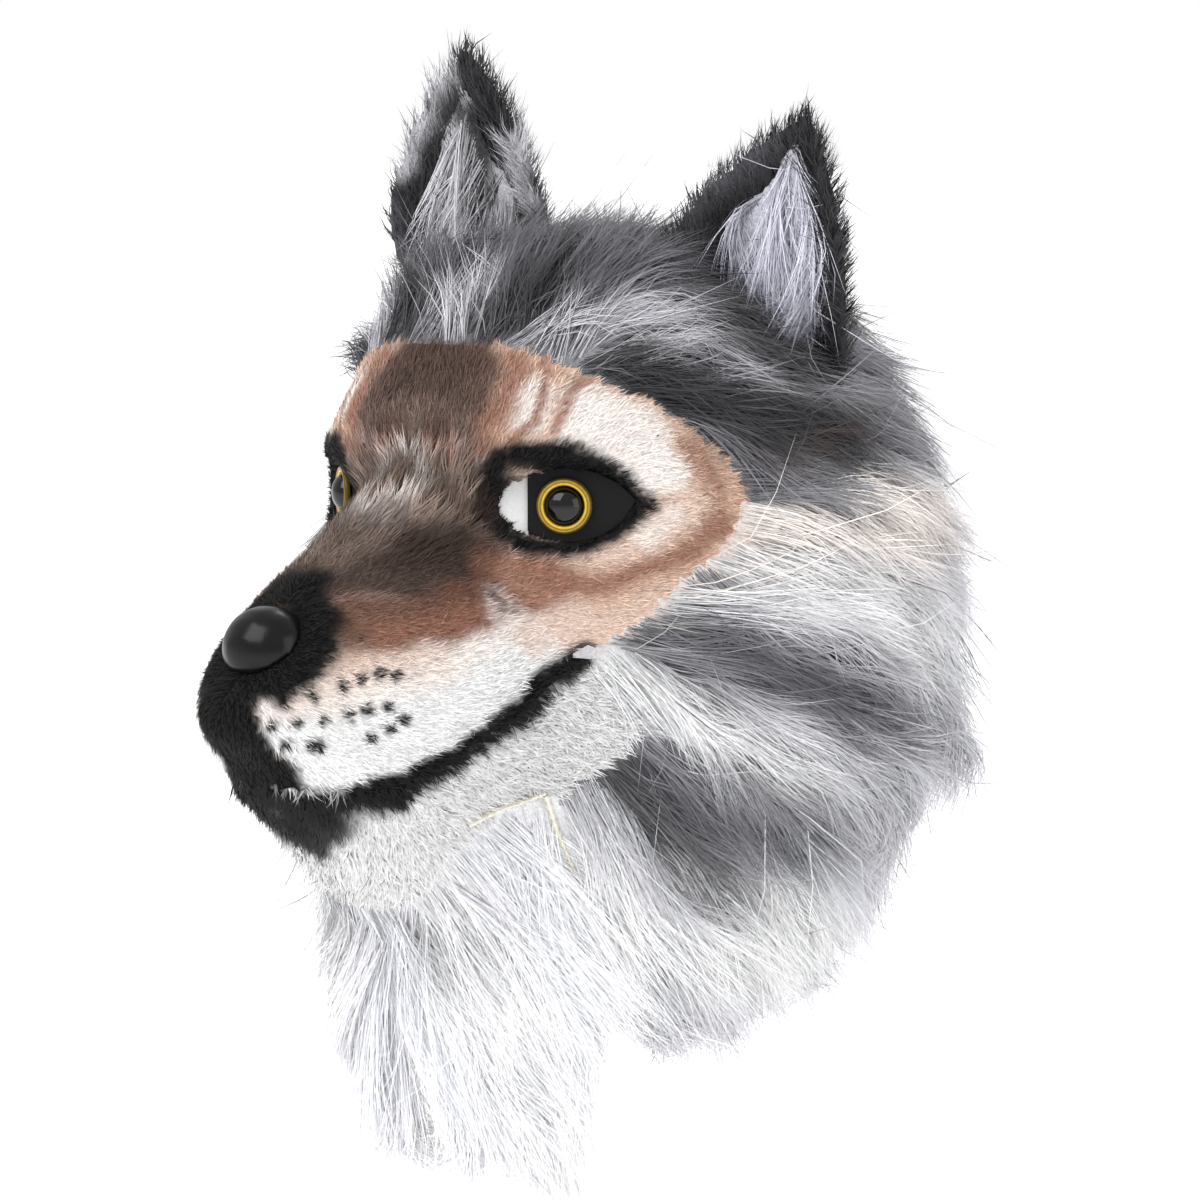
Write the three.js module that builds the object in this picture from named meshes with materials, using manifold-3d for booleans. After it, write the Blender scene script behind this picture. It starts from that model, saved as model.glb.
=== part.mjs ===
import * as THREE from 'three';
import { mergeVertices } from 'three/addons/utils/BufferGeometryUtils.js';
import Module from 'manifold-3d';

const wasm = await Module();
wasm.setup();

// Sizes in millimetres. The wolf looks along -Y and its left side is +X.
// The wearer's crown touches the origin.
const foamWall = 10;
const rimDrop = 275;
const headHalfWidth = 110;
const faceReach = 138;
const napeReach = 108;
const muzzleRoot = 100;
const muzzleReach = 247;
const muzzleHalfWidth = 47;
const fitGap = 0.4;

// Thickness of the short printed pile, the curly jaw plush and the backing that carries the long fur.
const facePile = 4;
const jawPile = 7;
const longPile = 9;
const bibPile = 7;
const skirtDrop = 12;

const earWidth = 96;
const earThickness = 6;
const earCup = 20;
const earHeight = 78;
const rightEarExtra = 27;
const earTuftDepth = 9;

// Where things sit: out and forward in shares of headHalfWidth, the ear's outer root in shares of earWidth.
const earPlace = { rootOut: 0.236, rootForward: 0.245, tipOut: 0.86, tipForward: 0.055 };
const earOuterRoot = { out: 0.78, forward: -0.055, drop: 0.40 };

const eyePlace = { out: 0.565, level: 0.307 };
const eyeTurn = 36;
const eyeRecess = 5.5;
const eyeHalfLength = 29;
const eyeHalfHeight = 16;
const plateRim = 2.5;
const eyePlate = 2;
const eyePatch = 1.2;
const patchInner = 15;
const ringOuter = 11;
const ringInner = 8;
const ringHeight = 3;
const pupilHeight = 6;

const noseHalfWidth = 19;
const noseHalfHeight = 18;
const noseHalfDepth = 18;
const noseInset = 22;
const noseLevel = 0.495;

// Longest locks of each stretch of long fur, and the widest lock.
const crownFurLength = 54;
const cheekFurLength = 68;
const napeFurLength = 72;
const bibFurLength = 96;
const lockWidth = 30;
const lockFlatness = 0.42;

const outerSides = 22;
const muzzleSides = 16;
const innerSides = 16;
const lockSides = 3;
const stagger = 0.22;

// The foam head, one row for each level from the crown down. The level is a share of the foam's whole height,
// and the width, front and back are shares of headHalfWidth, faceReach and napeReach.
const headRows = [
  { level: 0.000, width: 0.22, front: 0.42, back: 0.22, squareness: 2.2 },
  { level: 0.015, width: 0.44, front: 0.60, back: 0.36, squareness: 2.3 },
  { level: 0.042, width: 0.58, front: 0.72, back: 0.48, squareness: 2.4 },
  { level: 0.095, width: 0.70, front: 0.87, back: 0.60, squareness: 2.5 },
  { level: 0.181, width: 0.81, front: 1.00, back: 0.74, squareness: 2.5 },
  { level: 0.240, width: 0.88, front: 1.020, back: 0.82, squareness: 2.7 },
  { level: 0.323, width: 0.94, front: 0.965, back: 0.90, squareness: 2.6 },
  { level: 0.421, width: 1.00, front: 0.985, back: 1.00, squareness: 2.3 },
  { level: 0.544, width: 1.00, front: 1.00, back: 0.96, squareness: 2.1 },
  { level: 0.650, width: 0.95, front: 1.00, back: 0.85, squareness: 2.1 },
  { level: 0.737, width: 0.85, front: 1.01, back: 0.70, squareness: 2.1 },
  { level: 0.835, width: 0.75, front: 1.04, back: 0.56, squareness: 2.2 },
  { level: 0.912, width: 0.70, front: 1.08, back: 0.49, squareness: 2.2 },
  { level: 1.000, width: 0.68, front: 1.08, back: 0.46, squareness: 2.2 },
  { level: 1.100, width: 0.66, front: 1.06, back: 0.46, squareness: 2.2 },
];
const outerLevels = [0, 0.014, 0.045, 0.1, 0.17, 0.25, 0.34, 0.45, 0.56, 0.68, 0.82, 1, 1.1];
const innerLevels = [0, 0.03, 0.09, 0.2, 0.32, 0.44, 0.58, 0.72, 0.86, 1, 1.1];

// The foam muzzle, one row for each step forward.
// The step is a share of the way from muzzleRoot to muzzleReach,
// top and bottom are levels of the head, and the width is a share of muzzleHalfWidth.
const muzzleRows = [
  { forward: 0.00, top: 0.232, bottom: 0.985, width: 1.04, above: 1.8, below: 2.6 },
  { forward: 0.33, top: 0.274, bottom: 0.900, width: 0.97, above: 1.8, below: 2.6 },
  { forward: 0.50, top: 0.337, bottom: 0.832, width: 0.88, above: 1.9, below: 2.6 },
  { forward: 0.67, top: 0.393, bottom: 0.754, width: 0.76, above: 2.1, below: 2.5 },
  { forward: 0.80, top: 0.452, bottom: 0.705, width: 0.66, above: 2.8, below: 2.4 },
  { forward: 0.91, top: 0.512, bottom: 0.656, width: 0.54, above: 3.2, below: 2.4 },
  { forward: 0.97, top: 0.548, bottom: 0.620, width: 0.38, above: 2.8, below: 2.3 },
  { forward: 1.00, top: 0.570, bottom: 0.597, width: 0.20, above: 2.2, below: 2.0 },
];
const outerSteps = [0, 0.33, 0.55, 0.72, 0.84, 0.92, 0.97, 1];
const innerSteps = [0, 0.4, 0.65, 0.84, 0.95, 1];

// Corners where the seams meet, seen from the side: back is along +Y in shares of faceReach, level as above.
// The first ten lie outside the head and only close the outlines.
const seams = {
  frontTop: { back: -2.60, level: -0.600 },
  frontBrow: { back: -2.60, level: 0.060 },
  frontLip: { back: -2.60, level: 0.640 },
  frontThroat: { back: -2.60, level: 1.100 },
  frontBottom: { back: -2.60, level: 1.700 },
  bibBottom: { back: -0.60, level: 1.700 },
  napeBottom: { back: 0.10, level: 1.700 },
  napeTop: { back: 0.60, level: -0.600 },
  backBottom: { back: 1.60, level: 1.700 },
  backTop: { back: 1.60, level: -0.600 },
  browMiddle: { back: -0.86, level: 0.082 },
  browFront: { back: -0.79, level: 0.113 },
  browSide: { back: -0.60, level: 0.165 },
  temple: { back: -0.43, level: 0.235 },
  templeLow: { back: -0.39, level: 0.305 },
  eyeCorner: { back: -0.47, level: 0.365 },
  cheekBone: { back: -0.62, level: 0.415 },
  cheekFront: { back: -0.74, level: 0.480 },
  mouthCorner: { back: -0.85, level: 0.515 },
  lipBack: { back: -0.92, level: 0.585 },
  lipMiddle: { back: -1.19, level: 0.650 },
  lipLow: { back: -1.40, level: 0.690 },
  lipFront: { back: -1.65, level: 0.688 },
  lipTip: { back: -1.80, level: 0.660 },
  jawTop: { back: -0.76, level: 0.525 },
  jawRear: { back: -0.70, level: 0.590 },
  jawHeel: { back: -0.73, level: 0.645 },
  jawCorner: { back: -0.88, level: 0.715 },
  jawUnder: { back: -1.03, level: 0.727 },
  jawThroat: { back: -1.19, level: 0.785 },
  throat: { back: -1.20, level: 0.920 },
  bibMiddle: { back: -0.74, level: 0.860 },
  bibLow: { back: -0.64, level: 1.000 },
  crownBack: { back: 0.30, level: 0.175 },
  crownTop: { back: 0.36, level: -0.100 },
  napeHigh: { back: 0.44, level: 0.420 },
  napeLow: { back: 0.30, level: 0.720 },
  napeRim: { back: 0.16, level: 1.000 },
};

const panelOutlines = {
  face: [
    'frontBrow', 'browMiddle', 'browFront', 'browSide', 'temple', 'templeLow', 'eyeCorner', 'cheekBone',
    'cheekFront', 'mouthCorner', 'lipBack', 'lipMiddle', 'lipLow', 'lipFront', 'lipTip', 'frontLip',
  ],
  jaw: [
    'frontLip', 'lipTip', 'lipFront', 'lipLow', 'lipMiddle', 'lipBack', 'mouthCorner', 'jawTop', 'jawRear',
    'jawHeel', 'jawCorner', 'jawUnder', 'jawThroat', 'throat', 'frontThroat',
  ],
  bib: [
    'frontThroat', 'throat', 'jawThroat', 'jawUnder', 'jawCorner', 'bibMiddle', 'bibLow', 'bibBottom',
    'frontBottom',
  ],
  cheek: [
    'eyeCorner', 'templeLow', 'crownBack', 'napeHigh', 'napeLow', 'napeRim', 'napeBottom', 'bibBottom',
    'bibLow', 'bibMiddle', 'jawCorner', 'jawHeel', 'jawRear', 'jawTop', 'mouthCorner', 'cheekFront',
    'cheekBone',
  ],
  crown: [
    'frontTop', 'napeTop', 'crownTop', 'crownBack', 'templeLow', 'temple', 'browSide', 'browFront',
    'browMiddle', 'frontBrow',
  ],
  nape: [
    'napeTop', 'backTop', 'backBottom', 'napeBottom', 'napeRim', 'napeLow', 'napeHigh', 'crownBack',
    'crownTop',
  ],
};

// Locks of long fur.
// The level says where a row of locks is rooted, from and to are degrees round the head from
// the front to the back, sweep is the way they lie, in degrees from straight down towards the back, and tuck
// draws them in under the head. Their length and width are shares of the stretch's length and of lockWidth.
const crownLocks = [
  { level: 0.045, from: 0, to: 66, count: 3, length: 1.00, width: 0.84, sweep: 152, lift: 0.30, tuck: 0 },
  { level: 0.120, from: 8, to: 64, count: 3, length: 0.96, width: 0.84, sweep: 118, lift: 0.24, tuck: 0 },
  { level: 0.030, from: 104, to: 170, count: 2, length: 0.92, width: 0.94, sweep: 40, lift: 0.26, tuck: 0 },
  { level: 0.175, from: 62, to: 86, count: 2, length: 0.92, width: 0.80, sweep: 82, lift: 0.20, tuck: 0 },
];
const cheekLocks = [
  { level: 0.330, from: 78, to: 120, count: 3, length: 0.88, width: 0.94, sweep: 66, lift: 0.24, tuck: 0 },
  { level: 0.430, from: 62, to: 122, count: 4, length: 0.97, width: 0.97, sweep: 58, lift: 0.28, tuck: 0 },
  { level: 0.530, from: 54, to: 122, count: 4, length: 1.00, width: 1.00, sweep: 50, lift: 0.32, tuck: 0 },
  { level: 0.630, from: 52, to: 118, count: 4, length: 0.97, width: 0.97, sweep: 42, lift: 0.30, tuck: 0 },
  { level: 0.740, from: 52, to: 114, count: 4, length: 0.91, width: 0.90, sweep: 28, lift: 0.24, tuck: 0 },
  { level: 0.870, from: 54, to: 108, count: 4, length: 0.97, width: 0.80, sweep: 12, lift: 0.10, tuck: 0 },
];
const napeLocks = [
  { level: 0.130, from: 136, to: 180, count: 2, length: 0.86, width: 1.00, sweep: 16, lift: 0.22, tuck: 0 },
  { level: 0.280, from: 134, to: 180, count: 2, length: 0.92, width: 1.03, sweep: 6, lift: 0.24, tuck: 0 },
  { level: 0.440, from: 132, to: 180, count: 2, length: 0.94, width: 1.03, sweep: 2, lift: 0.24, tuck: 0 },
  { level: 0.610, from: 130, to: 180, count: 2, length: 0.94, width: 1.00, sweep: 0, lift: 0.22, tuck: 0 },
  { level: 0.800, from: 128, to: 180, count: 2, length: 1.00, width: 0.90, sweep: 0, lift: 0.12, tuck: 0 },
];
const bibLocks = [
  { level: 0.850, from: 26, to: 50, count: 2, length: 0.83, width: 0.73, sweep: 6, lift: 0.10, tuck: 0.10 },
  { level: 0.960, from: 0, to: 48, count: 4, length: 1.00, width: 0.83, sweep: 4, lift: 0.04, tuck: 0.22 },
];

// A lock's cross section along its length: half width, height over its lie and sag are shares.
const lockShape = [
  { along: 0.00, width: 0.50, rise: 0.0, fall: 0.00 },
  { along: 0.50, width: 0.54, rise: 0.8, fall: 0.00 },
  { along: 1.00, width: 0.05, rise: 0.9, fall: 0.10 },
];

// An ear from below its root to its tip. The edges bulge by shares of earWidth, the cup is a share of earCup.
const earRows = [
  { height: -0.30, inner: -0.10, outer: -0.12, cup: 0.9, tip: 1 },
  { height: 0.00, inner: 0.02, outer: 0.04, cup: 1.0, tip: 1 },
  { height: 0.18, inner: 0.07, outer: 0.25, cup: 1.0, tip: 1 },
  { height: 0.36, inner: 0.11, outer: 0.35, cup: 0.9, tip: 1 },
  { height: 0.54, inner: 0.13, outer: 0.37, cup: 0.75, tip: 1 },
  { height: 0.72, inner: 0.11, outer: 0.28, cup: 0.5, tip: 1 },
  { height: 0.88, inner: 0.07, outer: 0.15, cup: 0.25, tip: 0.9 },
  { height: 1.00, inner: 0.02, outer: 0.02, cup: 0.0, tip: 0.6 },
];
const tuftRows = [
  { height: 0.06, from: 0.34, to: 0.66, depth: 0.5 },
  { height: 0.20, from: 0.24, to: 0.74, depth: 1.0 },
  { height: 0.40, from: 0.20, to: 0.78, depth: 1.0 },
  { height: 0.60, from: 0.24, to: 0.76, depth: 0.8 },
  { height: 0.78, from: 0.32, to: 0.66, depth: 0.5 },
  { height: 0.88, from: 0.42, to: 0.56, depth: 0.3 },
];
const earInward = new THREE.Vector3(-0.95, -0.25, 0.18).normalize();
const earOutward = new THREE.Vector3(0.75, -0.66, 0.08).normalize();

function follow(rows, along, name, at) {
  let i = 1;
  while (i < rows.length - 1 && rows[i][along] < at) i += 1;
  const before = rows[Math.max(i - 2, 0)];
  const from = rows[i - 1];
  const to = rows[i];
  const after = rows[Math.min(i + 1, rows.length - 1)];
  const span = to[along] - from[along];
  const share = (at - from[along]) / span;
  const slopeFrom = (to[name] - before[name]) / (to[along] - before[along]);
  const slopeTo = (after[name] - from[name]) / (after[along] - from[along]);
  const square = share * share;
  const cube = square * share;
  return (2 * cube - 3 * square + 1) * from[name] + (cube - 2 * square + share) * span * slopeFrom
    + (3 * square - 2 * cube) * to[name] + (cube - square) * span * slopeTo;
}

function bent(value, squareness) {
  return Math.sign(value) * Math.abs(value) ** (2 / squareness);
}

function radians(degrees) {
  return degrees * Math.PI / 180;
}

// A closed body through rings of points, which run counterclockwise seen from the end.
function loft(rings) {
  const count = rings[0].length;
  const positions = [];
  const indices = [];
  rings.flat().forEach((point) => positions.push(point.x, point.y, point.z));
  for (let r = 0; r < rings.length - 1; r += 1) {
    for (let k = 0; k < count; k += 1) {
      const a = r * count + k;
      const b = r * count + (k + 1) % count;
      indices.push(a, b, b + count, a, b + count, a + count);
    }
  }
  const last = (rings.length - 1) * count;
  for (let k = 1; k < count - 1; k += 1) {
    indices.push(0, k + 1, k);
    indices.push(last, last + k, last + k + 1);
  }
  const geometry = new THREE.BufferGeometry();
  geometry.setAttribute('position', new THREE.Float32BufferAttribute(positions, 3));
  geometry.setIndex(indices);
  return geometry;
}

function solid(geometry) {
  const vertProperties = new Float32Array(geometry.getAttribute('position').array);
  const triVerts = new Uint32Array(geometry.getIndex().array);
  return new wasm.Manifold(new wasm.Mesh({ numProp: 3, vertProperties, triVerts }));
}

function merged(geometry) {
  const plain = geometry.clone();
  plain.deleteAttribute('normal');
  plain.deleteAttribute('uv');
  return mergeVertices(plain);
}

function levelHeight(level) {
  return foamWall - level * (rimDrop + foamWall);
}

function headPoint(turn, level, grow) {
  const width = follow(headRows, 'level', 'width', level) * headHalfWidth + grow;
  const front = follow(headRows, 'level', 'front', level) * faceReach + grow;
  const back = follow(headRows, 'level', 'back', level) * napeReach + grow;
  const squareness = follow(headRows, 'level', 'squareness', level);
  const along = bent(Math.sin(turn), squareness);
  const lift = level <= 0 ? grow : 0;
  return new THREE.Vector3(
    bent(Math.cos(turn), squareness) * width,
    along * (along < 0 ? front : back),
    levelHeight(level) + lift,
  );
}

function cranium(grow, levels, sides) {
  const rings = [...levels].reverse().map((level) => (
    Array.from({ length: sides }, (unused, k) => headPoint(2 * Math.PI * k / sides, level, grow))
  ));
  return solid(loft(rings));
}

function muzzle(grow, steps, sides) {
  const rings = steps.map((step) => {
    const top = levelHeight(follow(muzzleRows, 'forward', 'top', step)) + grow;
    const bottom = levelHeight(follow(muzzleRows, 'forward', 'bottom', step)) - grow;
    const width = follow(muzzleRows, 'forward', 'width', step) * muzzleHalfWidth + grow;
    const y = -muzzleRoot - step * (muzzleReach - muzzleRoot) - (step === 1 ? grow : 0);
    return Array.from({ length: sides }, (unused, k) => {
      const turn = 2 * Math.PI * k / sides;
      const squareness = follow(muzzleRows, 'forward', Math.sin(turn) > 0 ? 'above' : 'below', step);
      const x = bent(Math.cos(turn), squareness) * width;
      const z = (top + bottom) / 2 + bent(Math.sin(turn), squareness) * (top - bottom) / 2;
      return new THREE.Vector3(x, y, z);
    });
  });
  return solid(loft(rings));
}

function headForm(grow) {
  return cranium(grow, outerLevels, outerSides).add(muzzle(grow, outerSteps, muzzleSides));
}

function hollowForm() {
  return cranium(-foamWall, innerLevels, innerSides).add(muzzle(-foamWall, innerSteps, innerSides));
}

function sidePoint(corner) {
  const { back, level } = seams[corner];
  return new THREE.Vector2(back * faceReach, levelHeight(level));
}

// The outline moved in by half of fitGap, so that neighbouring panels stay clear of each other.
function inset(points) {
  const turn = Math.sign(THREE.ShapeUtils.area(points));
  return points.map((point, k) => {
    const before = points[(k + points.length - 1) % points.length];
    const after = points[(k + 1) % points.length];
    const arrive = point.clone().sub(before).normalize();
    const leave = after.clone().sub(point).normalize();
    const inward = new THREE.Vector2(-arrive.y - leave.y, arrive.x + leave.x).normalize();
    const narrowing = Math.max(0.3, Math.abs(inward.dot(new THREE.Vector2(-arrive.y, arrive.x))));
    return point.clone().addScaledVector(inward, turn * fitGap / 2 / narrowing);
  });
}

function prism(outline, start, end, frame) {
  const shape = new THREE.Shape(outline);
  const bar = new THREE.ExtrudeGeometry(shape, { depth: end - start, bevelEnabled: false });
  bar.translate(0, 0, start);
  bar.applyMatrix4(frame);
  return solid(merged(bar));
}

function across(outline, start, end) {
  const sideways = new THREE.Matrix4().makeBasis(
    new THREE.Vector3(0, 1, 0),
    new THREE.Vector3(0, 0, 1),
    new THREE.Vector3(1, 0, 0),
  );
  return prism(inset(outline.map(sidePoint)), start, end, sideways);
}

function aboveRim(skirt) {
  const tall = rimDrop + skirt + 2 * earHeight;
  const box = new THREE.BoxGeometry(6 * headHalfWidth, 6 * muzzleReach, tall);
  box.translate(0, 0, tall / 2 - rimDrop - skirt);
  return solid(merged(box));
}

function layer(pile) {
  return headForm(pile).subtract(headForm(fitGap)).intersect(aboveRim(skirtDrop));
}

function insideOutline(outline, point) {
  const corners = outline.map(sidePoint);
  let inside = false;
  corners.forEach((a, k) => {
    const b = corners[(k + 1) % corners.length];
    const crosses = (a.y > point.z) !== (b.y > point.z);
    if (crosses && point.y < a.x + (b.x - a.x) * (point.z - a.y) / (b.y - a.y)) inside = !inside;
  });
  return inside;
}

// One lock of fur: a flat tapering spike from its root along its lie, which rises off the head.
function lock(root, lie, normal, row, length) {
  const side = new THREE.Vector3().crossVectors(normal, lie).normalize();
  const up = new THREE.Vector3().crossVectors(lie, side).normalize();
  const reach = row.length * length;
  const rings = lockShape.map(({ along, width, rise, fall }) => {
    const centre = root.clone().addScaledVector(lie, along * reach);
    centre.addScaledVector(up, rise * row.lift * reach);
    centre.z -= fall * reach;
    const half = width * row.width * lockWidth;
    return Array.from({ length: lockSides }, (unused, k) => {
      const turn = 2 * Math.PI * k / lockSides + Math.PI / 2;
      return centre.clone()
        .addScaledVector(side, Math.cos(turn) * half)
        .addScaledVector(up, Math.sin(turn) * half * lockFlatness);
    });
  });
  return solid(loft(rings));
}

// Where a row's lock is rooted, and the way it lies on the head.
// The sweep turns it from down towards the back.
function lockPlace(row, share, side, pile) {
  const fromFront = row.from + (row.to - row.from) * share;
  const turn = radians(-90 + side * fromFront);
  const small = 0.02;
  const root = headPoint(turn, row.level, pile * 0.5);
  const down = headPoint(turn, row.level + small, 0).sub(headPoint(turn, row.level, 0)).normalize();
  const back = headPoint(turn + side * small, row.level, 0).sub(headPoint(turn, row.level, 0)).normalize();
  const normal = new THREE.Vector3().crossVectors(back, down).multiplyScalar(-side).normalize();
  if (normal.dot(root) < 0) normal.negate();
  const sweep = radians(row.sweep);
  const lie = down.multiplyScalar(Math.cos(sweep)).addScaledVector(back, Math.sin(sweep));
  lie.addScaledVector(normal, -row.tuck);
  return { root, lie: lie.normalize(), normal };
}

function withLocks(backing, rows, length, pile, outline, which) {
  let fur = backing;
  rows.forEach((row, rowNumber) => {
    for (let k = 0; k < row.count; k += 1) {
      const share = (k + 0.5 + (rowNumber % 2 ? stagger : -stagger)) / row.count;
      which.forEach((side) => {
        const { root, lie, normal } = lockPlace(row, share, side, pile);
        if (insideOutline(outline, root)) fur = fur.add(lock(root, lie, normal, row, length));
      });
    }
  });
  return fur;
}

function mainBody(form) {
  return form.decompose().sort((a, b) => b.volume() - a.volume())[0];
}

// A point of an ear: side is 1 for the left ear and -1 for the right, height runs from the root to the tip,
// share from the inner edge to the outer edge, and depth is the distance behind the cup's front.
function earPoint(side, height, share, depth, grow) {
  const rootOut = earPlace.rootOut * headHalfWidth;
  const rootForward = earPlace.rootForward * headHalfWidth;
  const inner = new THREE.Vector3(rootOut, -rootForward, foamWall);
  const outer = new THREE.Vector3(
    rootOut + earOuterRoot.out * earWidth,
    -earOuterRoot.forward * earWidth,
    -earOuterRoot.drop * earWidth,
  );
  const tip = new THREE.Vector3(
    earPlace.tipOut * headHalfWidth,
    -earPlace.tipForward * headHalfWidth,
    earHeight + (side < 0 ? rightEarExtra : 0),
  );
  const row = (name) => follow(earRows, 'height', name, height);
  const innerBulge = row('inner') * earWidth + grow;
  const outerBulge = row('outer') * earWidth + grow;
  const innerEdge = inner.clone().lerp(tip, height).addScaledVector(earInward, innerBulge);
  const outerEdge = outer.clone().lerp(tip, height).addScaledVector(earOutward, outerBulge);
  const point = innerEdge.lerp(outerEdge, share);
  point.y += row('cup') * earCup * 4 * share * (1 - share) + depth;
  point.x *= side;
  return point;
}

function earForm(side, front, back, grow) {
  const shares = [0, 0.2, 0.5, 0.8, 1];
  const rings = earRows.map(({ height, tip }) => {
    const ring = [
      ...shares.map((share) => earPoint(side, height, share, -front * tip, grow)),
      ...[...shares].reverse().map((share) => earPoint(side, height, share, back * tip, grow)),
    ];
    return side > 0 ? ring : ring.reverse();
  });
  return solid(loft(rings));
}

function earTuft(side) {
  const shares = [0, 0.3, 0.7, 1];
  const rings = tuftRows.map(({ height, from, to, depth }) => {
    const at = (share) => from + (to - from) * share;
    const rise = (share) => fitGap + depth * earTuftDepth * (0.25 + 3 * share * (1 - share));
    const ring = [
      ...shares.map((share) => earPoint(side, height, at(share), -rise(share), 0)),
      ...[...shares].reverse().map((share) => earPoint(side, height, at(share), -fitGap, 0)),
    ];
    return side > 0 ? ring : ring.reverse();
  });
  return solid(loft(rings));
}

function eyeFrame(side) {
  const turn = radians(eyeTurn);
  const frame = new THREE.Matrix4().makeBasis(
    new THREE.Vector3(Math.cos(turn), side * Math.sin(turn), 0),
    new THREE.Vector3(0, 0, 1),
    new THREE.Vector3(side * Math.sin(turn), -Math.cos(turn), 0),
  );
  const squareness = follow(headRows, 'level', 'squareness', eyePlace.level);
  const width = follow(headRows, 'level', 'width', eyePlace.level);
  const around = -Math.acos((eyePlace.out / width) ** (squareness / 2));
  const seat = headPoint(around, eyePlace.level, 0);
  seat.x -= Math.sin(turn) * eyeRecess;
  seat.y += Math.cos(turn) * eyeRecess;
  return frame.setPosition(side * seat.x, seat.y, seat.z);
}

function almond(side, grow) {
  const long = eyeHalfLength + grow;
  const high = eyeHalfHeight + grow;
  const shape = new THREE.Shape();
  shape.moveTo(-side * long, 0);
  shape.bezierCurveTo(
    -side * long * 0.6, high * 1.25, side * long * 0.5, high * 1.3, side * long, high * 0.15,
  );
  shape.bezierCurveTo(side * long * 0.6, -high * 1.3, -side * long * 0.35, -high * 1.3, -side * long, 0);
  return shape.getPoints(7).slice(0, -1);
}

function eyePrism(side, grow, start, end) {
  return prism(almond(side, grow), start, end, eyeFrame(side));
}

function turned(profile, side, sides) {
  const points = profile.map(([radius, height]) => new THREE.Vector2(radius, height));
  const dome = new THREE.LatheGeometry(points, sides);
  dome.rotateX(Math.PI / 2);
  dome.applyMatrix4(eyeFrame(side));
  return solid(merged(dome));
}

function eyePatchForm(side) {
  const start = fitGap;
  const plate = eyePrism(side, -fitGap, start, start + eyePatch);
  const box = new THREE.BoxGeometry(2 * eyeHalfLength, 4 * eyeHalfHeight, 4 * eyePatch + 4 * start);
  box.translate(side * (eyeHalfLength - patchInner), 0, 0);
  box.applyMatrix4(eyeFrame(side));
  return plate.intersect(solid(merged(box)));
}

function eyeRingForm(side) {
  const seat = 2 * fitGap + eyePatch;
  const middle = (ringOuter + ringInner) / 2;
  return turned([
    [ringInner, seat],
    [ringOuter, seat],
    [ringOuter, seat + ringHeight * 0.5],
    [middle, seat + ringHeight],
    [ringInner, seat + ringHeight * 0.8],
    [ringInner, seat],
  ], side, 16);
}

function pupilForm(side) {
  const seat = 2 * fitGap + eyePatch;
  const reach = ringInner - fitGap;
  const profile = [[0, seat]];
  for (let k = 0; k <= 4; k += 1) {
    const rise = radians(90 * k / 4);
    profile.push([reach * Math.cos(rise), seat + 1 + (pupilHeight - 1) * Math.sin(rise)]);
  }
  profile.splice(1, 0, [reach, seat]);
  profile[profile.length - 1][0] = 0;
  return turned(profile, side, 12);
}

function noseForm(grow) {
  const ball = new THREE.SphereGeometry(1, 14, 8);
  ball.scale(noseHalfWidth + grow, noseHalfDepth + grow, noseHalfHeight + grow);
  ball.translate(0, noseInset - muzzleReach, levelHeight(noseLevel));
  return solid(merged(ball));
}

function meshOf(name, form, colour, roughness) {
  const made = form.getMesh();
  const geometry = new THREE.BufferGeometry();
  geometry.setAttribute('position', new THREE.BufferAttribute(made.vertProperties, 3));
  geometry.setIndex(new THREE.BufferAttribute(made.triVerts, 1));
  geometry.computeVertexNormals();
  const material = new THREE.MeshStandardMaterial({ color: colour, roughness, metalness: 0 });
  const mesh = new THREE.Mesh(geometry, material);
  mesh.name = name;
  return mesh;
}

const wide = 3 * headHalfWidth;
const sides = { left: 1, right: -1 };
const bothSides = Object.values(sides);
const group = new THREE.Group();

function addShell() {
  let shell = headForm(0).subtract(hollowForm()).intersect(aboveRim(0));
  bothSides.forEach((side) => {
    shell = shell.subtract(eyePrism(side, plateRim + fitGap, -eyePlate - fitGap, faceReach));
  });
  group.add(meshOf('head_shell', mainBody(shell), 0xeae0c8, 0.8));
}

function addFace() {
  let face = layer(facePile).intersect(across(panelOutlines.face, -wide, wide)).subtract(noseForm(fitGap));
  bothSides.forEach((side) => {
    face = face.subtract(eyePrism(side, 0, -foamWall, faceReach));
    face = face.subtract(eyePrism(side, plateRim + fitGap, -eyePlate - fitGap, fitGap));
  });
  group.add(meshOf('face_fur', mainBody(face), 0xa87852, 0.9));
}

function addJaw() {
  const jaw = layer(jawPile).intersect(across(panelOutlines.jaw, -wide, wide));
  group.add(meshOf('jaw_fur', mainBody(jaw), 0xf2f0ec, 0.9));
}

function earRoom(side) {
  return earForm(side, earTuftDepth + 2 * fitGap, earThickness + fitGap, fitGap);
}

function addLongFur(name, panel, rows, length, pile, colour, which) {
  const outline = panelOutlines[panel];
  const rightEnd = which.includes(sides.right) ? -wide : 0;
  const leftEnd = which.includes(sides.left) ? wide : 0;
  const region = across(outline, rightEnd, leftEnd);
  const foam = headForm(fitGap).intersect(aboveRim(0));
  let fur = withLocks(layer(pile), rows, length, pile, outline, which).subtract(foam).intersect(region);
  which.forEach((side) => {
    fur = fur.subtract(earRoom(side));
  });
  group.add(meshOf(name, mainBody(fur), colour, 0.95));
}

function addEars() {
  Object.entries(sides).forEach(([name, side]) => {
    const ear = earForm(side, 0, earThickness, 0).subtract(headForm(fitGap));
    group.add(meshOf(`${name}_ear`, mainBody(ear), 0x2c2a2b, 0.95));
    const tuft = earTuft(side).subtract(headForm(longPile)).subtract(earForm(side, fitGap, earThickness, 0));
    group.add(meshOf(`${name}_ear_tuft`, mainBody(tuft), 0xcfcbd8, 0.95));
  });
}

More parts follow.
